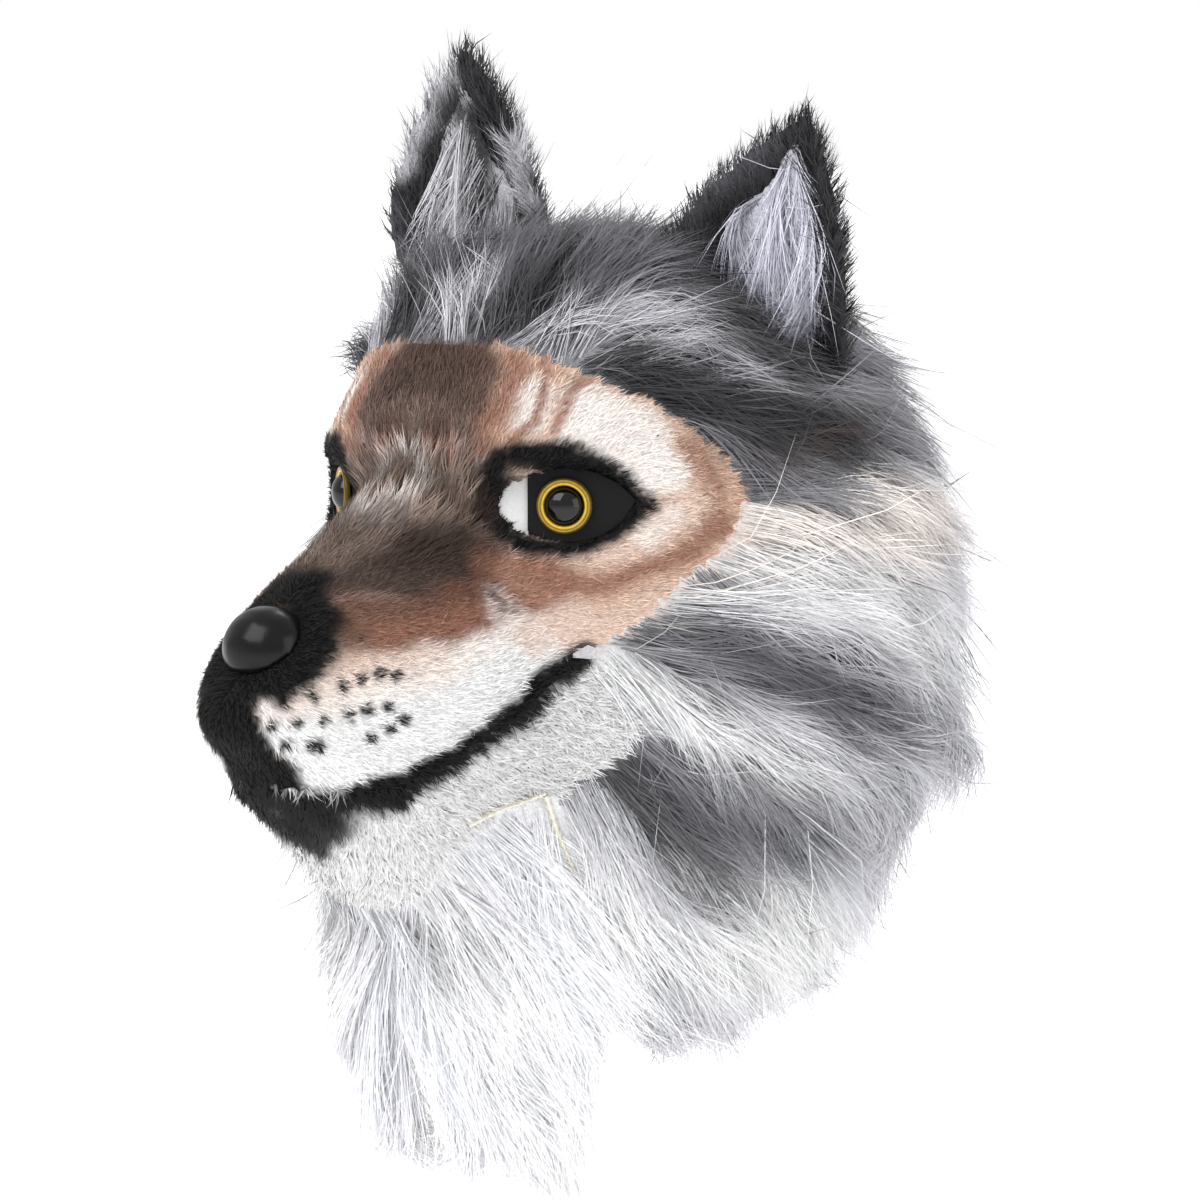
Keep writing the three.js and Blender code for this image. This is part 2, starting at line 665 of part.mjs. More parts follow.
function addEyes() {
  Object.entries(sides).forEach(([name, side]) => {
    group.add(meshOf(`${name}_eye_white`, eyePrism(side, plateRim, -eyePlate, 0), 0xf4f4f4, 0.4));
    group.add(meshOf(`${name}_eye_patch`, eyePatchForm(side), 0x111111, 0.35));
    group.add(meshOf(`${name}_eye_ring`, eyeRingForm(side), 0xc8a02a, 0.3));
    group.add(meshOf(`${name}_pupil`, pupilForm(side), 0x080808, 0.1));
  });
}

addShell();
addFace();
addJaw();
addLongFur('crown_fur', 'crown', crownLocks, crownFurLength, longPile, 0x77777a, bothSides);
addLongFur('nape_fur', 'nape', napeLocks, napeFurLength, longPile, 0x8a8a8c, bothSides);
addLongFur('throat_bib', 'bib', bibLocks, bibFurLength, bibPile, 0xf0f0f2, bothSides);
addLongFur('left_cheek_fur', 'cheek', cheekLocks, cheekFurLength, longPile, 0xc9c7c5, [sides.left]);
addLongFur('right_cheek_fur', 'cheek', cheekLocks, cheekFurLength, longPile, 0xc9c7c5, [sides.right]);
addEars();
addEyes();
group.add(meshOf('nose', mainBody(noseForm(0).subtract(headForm(fitGap))), 0x141414, 0.3));

export default group;
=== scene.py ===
import math
from collections import namedtuple

import bmesh
import bpy
import numpy as np
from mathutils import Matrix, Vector
from mathutils.bvhtree import BVHTree
from mathutils.kdtree import KDTree


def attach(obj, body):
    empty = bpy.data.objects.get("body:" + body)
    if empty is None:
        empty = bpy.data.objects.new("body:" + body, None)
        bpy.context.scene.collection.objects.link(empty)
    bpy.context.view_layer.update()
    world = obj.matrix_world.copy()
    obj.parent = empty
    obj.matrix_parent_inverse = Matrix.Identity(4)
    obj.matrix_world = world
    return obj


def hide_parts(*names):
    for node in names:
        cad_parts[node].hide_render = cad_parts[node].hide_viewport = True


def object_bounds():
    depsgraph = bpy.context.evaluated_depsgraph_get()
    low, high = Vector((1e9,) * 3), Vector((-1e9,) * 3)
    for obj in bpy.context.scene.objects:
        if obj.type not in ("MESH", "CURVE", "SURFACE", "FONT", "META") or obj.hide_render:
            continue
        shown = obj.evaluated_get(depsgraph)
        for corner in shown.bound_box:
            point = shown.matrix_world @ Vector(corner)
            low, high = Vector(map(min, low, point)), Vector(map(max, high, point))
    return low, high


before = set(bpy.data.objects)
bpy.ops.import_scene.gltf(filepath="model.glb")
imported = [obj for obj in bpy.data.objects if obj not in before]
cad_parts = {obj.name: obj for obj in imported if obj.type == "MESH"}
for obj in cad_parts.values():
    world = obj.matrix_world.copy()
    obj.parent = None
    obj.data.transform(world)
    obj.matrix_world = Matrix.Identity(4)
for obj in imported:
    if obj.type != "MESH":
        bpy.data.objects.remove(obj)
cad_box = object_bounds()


def table(kind, rows):
    """Rows with the column names of their kind."""
    return [kind(*row) for row in rows]


# The photograph's view. Distances are in metres, and the photograph is 1200 pixels wide and high.
VIEW_AZIMUTH = math.radians(41)
VIEW_ELEVATION = math.radians(5)
VIEW_DISTANCE = 2.5
PIXEL = 0.00042
PHOTO_CENTRE = 600
CROWN_ACROSS = 640
CROWN_DOWN = 300
SENSOR_WIDTH = 36.0

BACK = np.array([
    math.sin(VIEW_AZIMUTH) * math.cos(VIEW_ELEVATION),
    -math.cos(VIEW_AZIMUTH) * math.cos(VIEW_ELEVATION),
    math.sin(VIEW_ELEVATION),
])
RIGHT = np.array([math.cos(VIEW_AZIMUTH), math.sin(VIEW_AZIMUTH), 0.0])
UP = np.cross(BACK, RIGHT)
AIM = ((PHOTO_CENTRE - CROWN_ACROSS) * RIGHT + (CROWN_DOWN - PHOTO_CENTRE) * UP) * PIXEL
MIRROR = np.array([-1.0, 1.0, 1.0])

FLOOR_HEIGHT = -0.52
FLOOR_SIZE = 60.0

PALETTE = {
    "white": (0.93, 0.93, 0.93),
    "plush": (0.86, 0.86, 0.86),
    "enamel": (0.80, 0.80, 0.80),
    "snow": (0.97, 0.97, 0.98),
    "cream": (0.95, 0.92, 0.90),
    "pink": (0.88, 0.79, 0.74),
    "tan": (0.87, 0.77, 0.71),
    "sand": (0.79, 0.66, 0.58),
    "rust": (0.58, 0.41, 0.34),
    "deep_rust": (0.42, 0.29, 0.24),
    "brown": (0.33, 0.25, 0.22),
    "umber": (0.22, 0.17, 0.15),
    "black": (0.06, 0.055, 0.055),
    "bronze": (0.34, 0.27, 0.07),
    "gold": (0.66, 0.53, 0.12),
    "bright_gold": (0.88, 0.74, 0.26),
    "taupe": (0.52, 0.45, 0.41),
    "silver": (0.78, 0.78, 0.80),
    "grey": (0.54, 0.54, 0.56),
    "slate": (0.38, 0.38, 0.40),
    "charcoal": (0.20, 0.20, 0.21),
    "lilac": (0.84, 0.84, 0.89),
    # A bluish grey, used only as painted shade on the bib.
    "painted_throat_shade": (0.86, 0.87, 0.91),
}

# The black line of the lip, which the face and the jaw share.
LIP_LINE = [(236, 776), (280, 796), (340, 802), (400, 788), (460, 756), (520, 712), (582, 652)]

# Markings, laid on in this order. Points are pixels of the photograph on the near side, and the far side is
# its mirror image. The half width and the softness of the edge are pixels too.
Mark = namedtuple("Mark", "colour half edge strength points")

FACE_MARKS = table(Mark, [
    ("sand", 20, 18, 0.8, [(420, 350), (500, 356), (560, 370), (620, 390), (700, 440), (745, 490)]),
    ("rust", 16, 12, 0.9, [(392, 365), (384, 410), (378, 450)]),
    ("brown", 50, 16, 0.95, [(452, 340), (448, 400), (436, 440)]),
    ("umber", 20, 16, 0.5, [(450, 350), (446, 420)]),
    ("rust", 19, 12, 0.85, [(518, 370), (508, 410), (486, 452)]),
    ("sand", 18, 14, 0.8, [(548, 372), (536, 410), (520, 440)]),
    ("cream", 15, 10, 0.9, [(536, 392), (528, 420)]),
    ("cream", 24, 10, 1.0, [(584, 404), (624, 430), (660, 450), (676, 464)]),
    ("cream", 18, 8, 1.0, [(572, 436), (614, 450), (654, 472)]),
    ("cream", 14, 8, 1.0, [(350, 400), (336, 420), (328, 440)]),
    ("rust", 5, 4, 0.9, [(548, 366), (536, 410), (516, 446)]),
    ("rust", 5, 4, 0.9, [(584, 378), (562, 404), (552, 434)]),
    ("sand", 22, 12, 0.9, [(694, 440), (724, 490), (735, 530)]),
    ("rust", 8, 8, 0.6, [(690, 450), (716, 486), (722, 520)]),
    ("taupe", 58, 26, 0.9, [(430, 470), (400, 510), (455, 520)]),
    ("brown", 26, 14, 0.8, [(436, 440), (420, 470)]),
    ("cream", 6, 6, 0.7, [(404, 462), (440, 458), (478, 466)]),
    ("cream", 8, 8, 0.6, [(372, 520), (402, 506), (420, 484)]),
    ("silver", 8, 8, 0.6, [(352, 545), (372, 530), (392, 532)]),
    ("rust", 6, 6, 0.8, [(474, 452), (462, 474), (446, 462), (420, 452)]),
    ("umber", 9, 8, 0.7, [(388, 488), (436, 500), (470, 520)]),
    ("umber", 40, 16, 0.95, [(268, 600), (310, 568), (372, 560), (440, 570), (470, 584)]),
    ("umber", 22, 14, 0.8, [(400, 545), (440, 550), (480, 560)]),
    ("taupe", 14, 12, 0.6, [(330, 560), (380, 536)]),
    ("deep_rust", 27, 12, 0.95, [(352, 622), (400, 624), (450, 616), (510, 598), (545, 596)]),
    ("rust", 14, 10, 0.8, [(380, 634), (440, 628), (520, 606), (560, 600)]),
    ("sand", 20, 14, 0.9, [(520, 574), (580, 590), (640, 584), (700, 552), (740, 520)]),
    ("rust", 12, 9, 0.85, [(520, 566), (560, 584), (620, 580), (680, 556), (716, 528)]),
    ("rust", 16, 14, 0.7, [(490, 560), (520, 585), (556, 596)]),
    ("cream", 12, 8, 0.6, [(640, 540), (668, 520)]),
    ("cream", 12, 10, 0.55, [(492, 606), (512, 618)]),
    ("brown", 3, 3, 0.8, [(488, 598), (500, 612)]),
    ("brown", 3, 3, 0.7, [(506, 604), (518, 620)]),
    ("cream", 34, 12, 1.0, [(290, 720), (350, 706), (410, 690), (470, 672), (520, 652)]),
    ("white", 26, 10, 1.0, [(284, 740), (350, 740), (420, 722), (480, 694), (540, 660)]),
    ("white", 18, 8, 1.0, [(300, 770), (360, 774), (430, 748), (500, 705)]),
    ("pink", 20, 12, 0.8, [(530, 640), (568, 620)]),
    ("pink", 14, 12, 0.6, [(290, 700), (360, 670), (430, 656)]),
    ("black", 26, 10, 1.0, [(222, 640), (238, 600), (270, 580), (305, 590)]),
    ("black", 20, 9, 1.0, [(305, 596), (322, 630), (312, 662), (284, 684)]),
    ("black", 30, 9, 1.0, [(200, 660), (216, 700), (236, 752)]),
    ("black", 20, 7, 1.0, [(224, 676), (262, 680)]),
    ("black", 15, 7, 1.0, [(296, 600), (302, 630), (290, 656), (264, 668)]),
    ("black", 12, 5, 1.0, [(252, 690), (246, 726), (262, 766), (300, 790)]),
    ("black", 14, 5, 1.0, LIP_LINE),
    ("black", 13, 6, 1.0, [
        (484, 492), (496, 468), (528, 456), (560, 458), (600, 470), (630, 486), (644, 500),
        (620, 526), (590, 546), (560, 553), (530, 546), (502, 528), (486, 508), (484, 492),
    ]),
    ("black", 22, 8, 1.0, [(500, 500), (560, 506), (628, 504)]),
    ("black", 10, 6, 1.0, [(488, 500), (478, 516)]),
    ("umber", 12, 10, 0.6, [(470, 470), (478, 500), (486, 540)]),
])

WHISKER_HALF = 6.2
WHISKER_EDGE = 2.4
WHISKER_SPOTS = [
    (283, 703), (311, 697), (342, 686), (359, 679), (378, 673), (394, 676), (271, 724), (296, 722),
    (322, 720), (348, 716), (366, 710), (386, 707), (402, 720), (285, 744), (310, 746), (318, 746),
    (370, 737), (388, 729),
]

JAW_MARKS = table(Mark, [
    ("black", 28, 10, 1.0, [(225, 790), (270, 815), (318, 826)]),
    ("charcoal", 12, 12, 0.6, [(320, 838), (345, 826)]),
    ("grey", 9, 7, 0.6, [(240, 790), (272, 800)]),
    ("black", 12, 5, 1.0, LIP_LINE),
])

CROWN_MARKS = table(Mark, [
    ("slate", 60, 40, 0.95, [(520, 240), (600, 240), (680, 220)]),
    ("silver", 26, 16, 0.9, [(440, 300), (470, 275)]),
    ("charcoal", 24, 18, 0.85, [(500, 310), (540, 280), (570, 262)]),
    ("brown", 12, 12, 0.5, [(440, 330), (500, 335)]),
    ("silver", 24, 14, 0.95, [(570, 325), (620, 318), (680, 330)]),
    ("silver", 18, 16, 0.7, [(680, 300), (730, 330), (770, 380)]),
    ("charcoal", 34, 18, 0.95, [(650, 372), (710, 398), (770, 424), (850, 436)]),
    ("charcoal", 24, 18, 0.8, [(700, 260), (730, 300), (800, 370)]),
    ("slate", 34, 20, 0.9, [(370, 250), (380, 300), (370, 340)]),
    ("brown", 8, 8, 0.6, [(735, 490), (790, 470), (850, 420)]),
])

CHEEK_MARKS = table(Mark, [
    ("cream", 50, 24, 0.95, [(640, 596), (700, 570), (770, 530), (850, 510), (900, 520)]),
    ("tan", 18, 14, 0.6, [(730, 552), (780, 540)]),
    ("white", 30, 26, 0.75, [(800, 590), (880, 600), (920, 640)]),
    ("slate", 34, 34, 0.9, [(690, 650), (760, 660), (820, 690), (890, 720)]),
    ("charcoal", 16, 28, 0.55, [(720, 650), (800, 675), (870, 700)]),
    ("white", 22, 26, 0.85, [(610, 680), (670, 712), (740, 748), (800, 780)]),
    ("slate", 40, 32, 0.9, [(600, 780), (660, 800), (740, 820), (800, 830)]),
    ("charcoal", 28, 28, 0.8, [(640, 815), (690, 845), (720, 890)]),
    ("white", 44, 22, 0.9, [(600, 920), (640, 970), (720, 970), (800, 930)]),
    ("silver", 20, 14, 0.6, [(640, 1000), (740, 1010)]),
])

FAR_CHEEK_MARKS = CHEEK_MARKS + [
    Mark("slate", 46, 26, 0.9, [(640, 590), (700, 550), (740, 500), (760, 460)]),
]

NAPE_MARKS = table(Mark, [
    ("slate", 40, 30, 0.6, [(800, 400), (850, 520), (860, 640)]),
])

# Painted shade on the white throat fur: the bluish and silver streaks stand for the soft shade under the jaw
# and between the bib's locks.
BIB_PAINTED_SHADE = table(Mark, [
    ("painted_throat_shade", 30, 26, 0.35, [(380, 960), (410, 1060), (460, 1130)]),
    ("silver", 16, 16, 0.4, [(350, 930), (370, 1000)]),
    ("painted_throat_shade", 24, 20, 0.25, [(540, 880), (580, 1000), (610, 1100)]),
])

LEFT_EAR_MARKS = table(Mark, [
    ("slate", 18, 14, 0.7, [(700, 200), (760, 150)]),
    ("slate", 20, 14, 0.6, [(690, 240), (720, 300)]),
])
RIGHT_EAR_MARKS = table(Mark, [
    ("silver", 13, 10, 0.9, [(405, 170), (425, 110), (450, 80)]),
    ("silver", 13, 8, 0.85, [(515, 150), (528, 200)]),
    ("slate", 20, 14, 0.7, [(385, 220), (395, 280)]),
])

RIGHT_TUFT_MARKS = table(Mark, [
    ("charcoal", 18, 12, 0.95, [(470, 120), (478, 170), (480, 230)]),
    ("silver", 13, 8, 1.0, [(422, 120), (412, 180), (400, 240)]),
])

# How the fur is combed: at a pixel of the photograph it lies this much to the right and down.
Comb = namedtuple("Comb", "across down to_right to_down")

FACE_COMB = table(Comb, [
    (450, 400, 0.25, -0.95), (420, 480, 0.45, -0.85), (360, 540, 0.75, -0.6), (300, 570, 0.8, -0.5),
    (520, 400, 0.5, -0.85), (600, 410, 0.85, -0.45), (680, 450, 0.95, 0.0), (730, 510, 1.0, 0.1),
    (660, 570, 0.98, -0.2), (580, 590, 1.0, 0.0), (480, 600, 0.98, -0.1), (400, 620, 1.0, -0.05),
    (340, 640, 0.95, 0.2), (480, 540, 0.9, -0.4), (330, 720, 0.85, 0.4), (420, 710, 0.95, 0.1),
    (520, 660, 0.9, -0.3), (240, 740, 0.3, 0.9), (220, 660, 0.2, 0.95), (470, 500, 0.3, -0.9),
    (560, 450, 0.7, -0.7),
])
LONG_COMB = table(Comb, [
    (440, 330, 0.35, -0.95), (470, 280, 0.5, -0.85), (540, 325, 0.6, -0.75), (520, 260, 0.6, -0.6),
    (600, 250, 0.6, -0.75), (600, 335, 0.9, -0.35), (650, 330, 0.98, 0.05), (690, 370, 0.9, 0.35),
    (700, 290, 0.75, 0.6), (770, 420, 0.88, 0.45), (760, 330, 0.5, 0.85), (850, 420, 0.7, 0.7),
    (370, 280, -0.2, 0.95), (620, 600, 0.85, 0.45), (700, 560, 0.95, 0.25), (760, 520, 0.97, 0.2),
    (830, 480, 0.85, 0.5), (700, 650, 0.92, 0.35), (800, 640, 0.9, 0.45), (880, 600, 0.75, 0.65),
    (920, 560, 0.5, 0.85), (650, 720, 0.8, 0.6), (740, 740, 0.85, 0.52), (840, 740, 0.88, 0.48),
    (900, 680, 0.85, 0.5), (600, 780, 0.5, 0.85), (680, 820, 0.7, 0.7), (780, 820, 0.72, 0.68),
    (600, 880, 0.25, 0.96), (700, 900, 0.3, 0.95), (780, 920, 0.2, 0.98), (880, 450, 0.45, 0.88),
    (930, 640, 0.35, 0.93), (400, 930, 0.38, 0.92), (480, 900, 0.52, 0.85), (540, 860, 0.52, 0.85),
    (560, 1000, 0.58, 0.81), (650, 1050, 0.15, 0.98), (420, 1050, 0.55, 0.83), (350, 960, 0.38, 0.92),
    (500, 1100, 0.58, 0.81),
])
FAR_CHEEK_COMB = table(Comb, [
    (620, 600, -0.1, 1.0), (700, 560, -0.05, 1.0), (760, 500, 0.05, 0.98), (800, 640, 0.35, 0.92),
    (900, 680, 0.6, 0.8), (650, 740, 0.3, 0.95), (740, 840, 0.45, 0.88), (700, 930, 0.2, 0.98),
])

JAW_COMB = table(Comb, [
    (260, 810, 0.2, 0.95), (360, 860, 0.4, 0.9), (460, 800, 0.8, 0.6), (560, 730, 0.95, 0.3),
    (620, 730, 0.9, 0.4),
])

# The pile grows longer or shorter round these pixels, by this many times.
Spot = namedtuple("Spot", "across down reach times")
FACE_SPOTS = [
    Spot(415, 500, 75, 3.2), Spot(470, 470, 40, 1.6), Spot(565, 505, 72, 0.8), Spot(460, 400, 60, 1.3),
    Spot(270, 640, 55, 0.7), Spot(500, 610, 30, 1.2), Spot(330, 720, 60, 0.8),
]

LONG_SPOTS = [
    Spot(840, 990, 170, 0.45), Spot(640, 1000, 90, 1.25), Spot(470, 330, 60, 0.7), Spot(620, 340, 60, 0.8),
]

# Seams part the fur, and a shown one has a raw cloth edge. Points are pixels, widths are metres.
Seam = namedtuple("Seam", "shown width points")

SEAMS = [
    Seam(True, 0.0010, [(466, 824), (500, 808), (528, 800), (546, 793)]),
    Seam(True, 0.0011, [(546, 796), (557, 830), (572, 866), (588, 900), (604, 935), (619, 966)]),
    Seam(False, 0.0012, [(742, 540), (770, 522), (800, 500), (832, 460), (858, 404)]),
]

# How far off a seam the fur starts, in pixels, and how finely and with what section its edge is drawn.
SEAM_PARTING = 4.0
SEAM_STEPS = 10
SEAM_SECTION = [(-1.0, 0.0006), (-0.3, 0.0026), (0.3, 0.0030), (1.0, 0.0006)]

# One row for each stretch of fur. Lengths and widths are metres, and spacing is the distance between locks.
# Lift is how far the tips stand off the surface in shares of the length, pull draws strands to their lock's
# tip, and stray is how far they leave it, in the same shares. Dark and light are the shares of odd hairs.
Fur = namedtuple(
    "Fur", "name node slot strands parts length width spacing lift pull stray dark light ground marks comb")

FURS = [
    Fur("crown_strands", "crown_fur", "long_fur", 30000, 3,
        0.052, 0.00040, 0.010, 0.28, 0.42, 0.18, 0.15, 0.16, "grey", CROWN_MARKS, LONG_COMB),
    Fur("left_cheek_strands", "left_cheek_fur", "long_fur", 35000, 3,
        0.062, 0.00038, 0.011, 0.24, 0.46, 0.17, 0.08, 0.14, "silver", CHEEK_MARKS, LONG_COMB),
    Fur("right_cheek_strands", "right_cheek_fur", "long_fur", 9500, 3,
        0.062, 0.00075, 0.011, 0.50, 0.46, 0.17, 0.12, 0.14, "silver", FAR_CHEEK_MARKS, FAR_CHEEK_COMB),
    Fur("nape_strands", "nape_fur", "long_fur", 9500, 3,
        0.062, 0.00078, 0.012, 0.18, 0.50, 0.15, 0.14, 0.16, "grey", NAPE_MARKS, LONG_COMB),
    Fur("bib_strands", "throat_bib", "white_fur", 22000, 3,
        0.084, 0.00034, 0.010, 0.08, 0.34, 0.15, 0.00, 0.25, "snow", BIB_PAINTED_SHADE, LONG_COMB),
    Fur("face_pile", "face_fur", "face_pile", 54000, 2,
        0.0040, 0.00038, 0.0022, 0.28, 0.25, 0.20, 0.10, 0.12, "tan", FACE_MARKS, FACE_COMB),
    Fur("jaw_plush", "jaw_fur", "jaw_plush", 20000, 2,
        0.0052, 0.00050, 0.0034, 0.45, 0.50, 0.42, 0.00, 0.15, "plush", JAW_MARKS, JAW_COMB),
    Fur("left_ear_pile", "left_ear", "ear_pile", 6500, 2,
        0.0100, 0.00055, 0.0035, 0.70, 0.30, 0.28, 0.10, 0.05, "charcoal", LEFT_EAR_MARKS, None),
    Fur("right_ear_pile", "right_ear", "ear_pile", 6500, 2,
        0.0100, 0.00055, 0.0035, 0.70, 0.30, 0.28, 0.10, 0.05, "charcoal", RIGHT_EAR_MARKS, None),
    Fur("left_ear_tuft_strands", "left_ear_tuft", "ear_tuft", 2400, 4,
        0.064, 0.00045, 0.008, 0.14, 0.45, 0.20, 0.10, 0.20, "lilac", [], None),
    Fur("right_ear_tuft_strands", "right_ear_tuft", "ear_tuft", 2000, 4,
        0.058, 0.00045, 0.008, 0.14, 0.45, 0.20, 0.25, 0.20, "silver", RIGHT_TUFT_MARKS, None),
]

# The skin under the fur is rebuilt on this grid from the foam and all its panels, so that no seam gapes. Long
# fur hides its locks in many rounds of smoothing, and the face and jaw get few.
SKIN_GRID = 0.004
EAR_GRID = 0.003
LONG_ROUNDS = 26
SHORT_ROUNDS = 3
FOAM_NODE = "head_shell"
FOAM_RIM = -0.262

# The room behind each eye plate: half its length and height, its depth, and how far off black fur frames it.
POCKET_LONG = 0.0275
POCKET_HIGH = 0.0150
POCKET_DEPTH = 0.0012
POCKET_REACH = 0.040

# Fur longer than this is long fur. The edges of its markings waver by more pixels, in waves of this size.
LONG_FROM = 0.02
LONG_WAVER = 8.0
SHORT_WAVER = 5.0
WAVER_SIZE = 0.006

# Where the photograph doesn't show the fur, it lies this way on top of the head and on its sides.
LIE_ON_TOP = np.array([0.15, 1.0, 0.0])
LIE_ON_SIDES = np.array([0.05, 0.30, -1.0])
TUFT_LIE = [0.12, 0.0, -1.0]
EAR_LIE = [0.0, 0.1, 1.0]

# How strands are bundled, and how widely they leave their lock. A few of them fly away further.
MARCH_STEPS = 6
TUFTS_IN_LOCK = 6
LOCK_TURN = 0.22
TUFT_BEND = 0.6
STRAND_BEND = 0.5
RIBBON_TWIST = 0.35
FLYAWAY_SHARE = 0.02
FLYAWAY_TIMES = 4.0

# How many times as light the odd hairs are, and the painted shade on the roots, the pile's roots and the
# backing.
DARK_TIMES = 0.5
LIGHT_TIMES = 1.35
PILE_ROOT_PAINTED_SHADE = 0.86
ROOT_PAINTED_SHADE = 0.74
BACKING_PAINTED_SHADE = 0.85

# The room that fur may take past the CAD box: a share of each side, and metres.
FABRIC_SHARE = 0.03
FABRIC_ROOM = 0.008

TINT = "fur_tint"

# The eye plate turns white this far from the ring's middle on the nose's side, over an edge this wide.
WHITE_FROM = 0.0148
WHITE_EDGE = 0.0002

# The ring's section from its outer foot over its crest to its bright inner lip: radius and height in metres.
RingRow = namedtuple("RingRow", "radius height colour")
RING = table(RingRow, [
    (0.0078, 0.0001, "bronze"), (0.0110, 0.0001, "bronze"), (0.0113, 0.0009, "bronze"),
    (0.0111, 0.0020, "bronze"), (0.0106, 0.0027, "bronze"), (0.0101, 0.0029, "gold"),
    (0.0096, 0.0028, "bronze"), (0.0092, 0.0026, "gold"), (0.0087, 0.0025, "bright_gold"),
    (0.0083, 0.0020, "gold"), (0.0079, 0.0008, "bronze"),
])

# The pupil's dome, which stops just short of its top so that a small cap closes it.
DOME_RADIUS = 0.0077
DOME_FOOT = 0.0005
DOME_HEIGHT = 0.0056
DOME_ROWS = 14
DOME_END = 0.5 * math.pi - 0.05

# Area lights. Back, right and up are the way from the mask to the light, in the camera's axes.
Lamp = namedtuple("Lamp", "name back right up distance size power")
LAMPS = [
    Lamp("key", 0.8, -0.7, 0.9, 2.2, 1.6, 36.0),
    Lamp("fill", 0.6, 0.9, 0.2, 2.4, 1.6, 14.0),
    Lamp("rim", -0.8, 0.5, 0.9, 2.2, 1.2, 20.0),
]
WORLD_LIGHT = 0.78
WORLD_SEEN = 1.0
FLOOR_GLOW = 0.55


def smooth_step(low, high, value):
    share = np.clip((value - low) / (high - low), 0, 1)
    return share * share * (3 - 2 * share)


def unit(vectors):
    length = np.linalg.norm(vectors, axis=-1, keepdims=True)
    return vectors / np.maximum(length, 1e-9)


def linear(colour):
    """The light of an sRGB colour."""
    shares = np.array(colour)
    return np.where(shares <= 0.04045, shares / 12.92, ((shares + 0.055) / 1.055) ** 2.4)


def photo_place(points):
    """The photograph's pixel that shows each point."""
    depth = VIEW_DISTANCE - (points - AIM) @ BACK
    scale = VIEW_DISTANCE / PIXEL / depth
    across = PHOTO_CENTRE + (points - AIM) @ RIGHT * scale
    down = PHOTO_CENTRE - (points - AIM) @ UP * scale
    return across, down


def near_side(points):
    """The points, with those of the far side mirrored to the near one."""
    return points * np.where(points[:, :1] < 0, MIRROR, 1.0)


def is_long(fur):
    return fur.length > LONG_FROM


def ripple(points, size, seed):
    """Smooth noise between about -1 and 1, made from a few waves in chance directions."""
    chance = np.random.default_rng(seed)
    total = np.zeros(len(points))
    for _ in range(7):
        wave = chance.normal(size=3) / size
        total += np.sin(points @ wave + chance.uniform(0, 2 * math.pi))
    return total / 3.0


def line_distance(across, down, line):
    best = np.full(len(across), np.inf)
    for (x0, y0), (x1, y1) in zip(line, line[1:]):
        run_x, run_y = x1 - x0, y1 - y0
        along = ((across - x0) * run_x + (down - y0) * run_y) / (run_x ** 2 + run_y ** 2)
        along = np.clip(along, 0, 1)
        best = np.minimum(best, np.hypot(across - x0 - along * run_x, down - y0 - along * run_y))
    return best


def painted(points, fur):
    """The colour of the fur at each point, as light."""
    mirrored = fur.comb is not None
    across, down = photo_place(near_side(points) if mirrored else points)
    waver = LONG_WAVER if is_long(fur) else SHORT_WAVER
    across = across + waver * ripple(points, WAVER_SIZE, 3)
    down = down + waver * ripple(points, WAVER_SIZE, 4)
    tint = np.tile(linear(PALETTE[fur.ground]), (len(points), 1))
    for mark in fur.marks:
        reach = line_distance(across, down, mark.points)
        cover = 1 - smooth_step(mark.half - mark.edge, mark.half + mark.edge, reach)
        tint += (linear(PALETTE[mark.colour]) - tint) * (cover * mark.strength)[:, None]
    if fur.name == "face_pile":
        across, down = photo_place(near_side(points))
        for spot in WHISKER_SPOTS:
            reach = np.hypot(across - spot[0], down - spot[1])
            cover = 1 - smooth_step(WHISKER_HALF - WHISKER_EDGE, WHISKER_HALF + WHISKER_EDGE, reach)
            tint += (linear(PALETTE["black"]) - tint) * cover[:, None]
    return tint


class Surface:
    """A triangle surface that gives chance roots and nearest places."""

    def __init__(self, points, normals, triangles):
        self.points = points
        self.normals = normals
        self.triangles = triangles
        self.tree = BVHTree.FromPolygons(points.tolist(), triangles.tolist())

    def hits(self, places):
        found = [self.tree.find_nearest(place) for place in places.tolist()]
        return np.array([hit[0] for hit in found]), np.array([hit[2] for hit in found])

    def nearest(self, places):
        spots, index = self.hits(places)
        return spots, unit(self.normals[self.triangles[index]].mean(axis=1))

    def double_areas(self):
        """Twice the area of each triangle."""
        corners = self.points[self.triangles]
        first = corners[:, 1] - corners[:, 0]
        second = corners[:, 2] - corners[:, 0]
        return np.linalg.norm(np.cross(first, second), axis=1)

    def roots(self, count, chance):
        """Places spread evenly over the surface, and the way it faces there."""
        corners = self.points[self.triangles]
        total = np.cumsum(self.double_areas())
        chosen = np.searchsorted(total, chance.uniform(0, total[-1], count))
        split = chance.uniform(size=(count, 2))
        split[split.sum(axis=1) > 1] = 1 - split[split.sum(axis=1) > 1]
        share = np.column_stack([1 - split.sum(axis=1), split])[:, :, None]
        places = (corners[chosen] * share).sum(axis=1)
        facing = unit((self.normals[self.triangles[chosen]] * share).sum(axis=1))
        return places, facing


def mesh_triangles(mesh):
    mesh.calc_loop_triangles()
    corners = np.empty(len(mesh.loop_triangles) * 3, dtype=np.int32)
    mesh.loop_triangles.foreach_get("vertices", corners)
    return corners.reshape(-1, 3)


def surface_of(mesh):
    normals = np.empty(len(mesh.vertices) * 3)
    mesh.vertices.foreach_get("normal", normals)
    return Surface(mesh_points(mesh), normals.reshape(-1, 3), mesh_triangles(mesh))


def link_piece(name, data):
    """An object of the scene with a mesh, a light or a camera."""
    piece = bpy.data.objects.new(name, data)
    bpy.context.scene.collection.objects.link(piece)
    return piece


def shade_smooth(mesh):
    mesh.polygons.foreach_set("use_smooth", np.ones(len(mesh.polygons), dtype=bool))


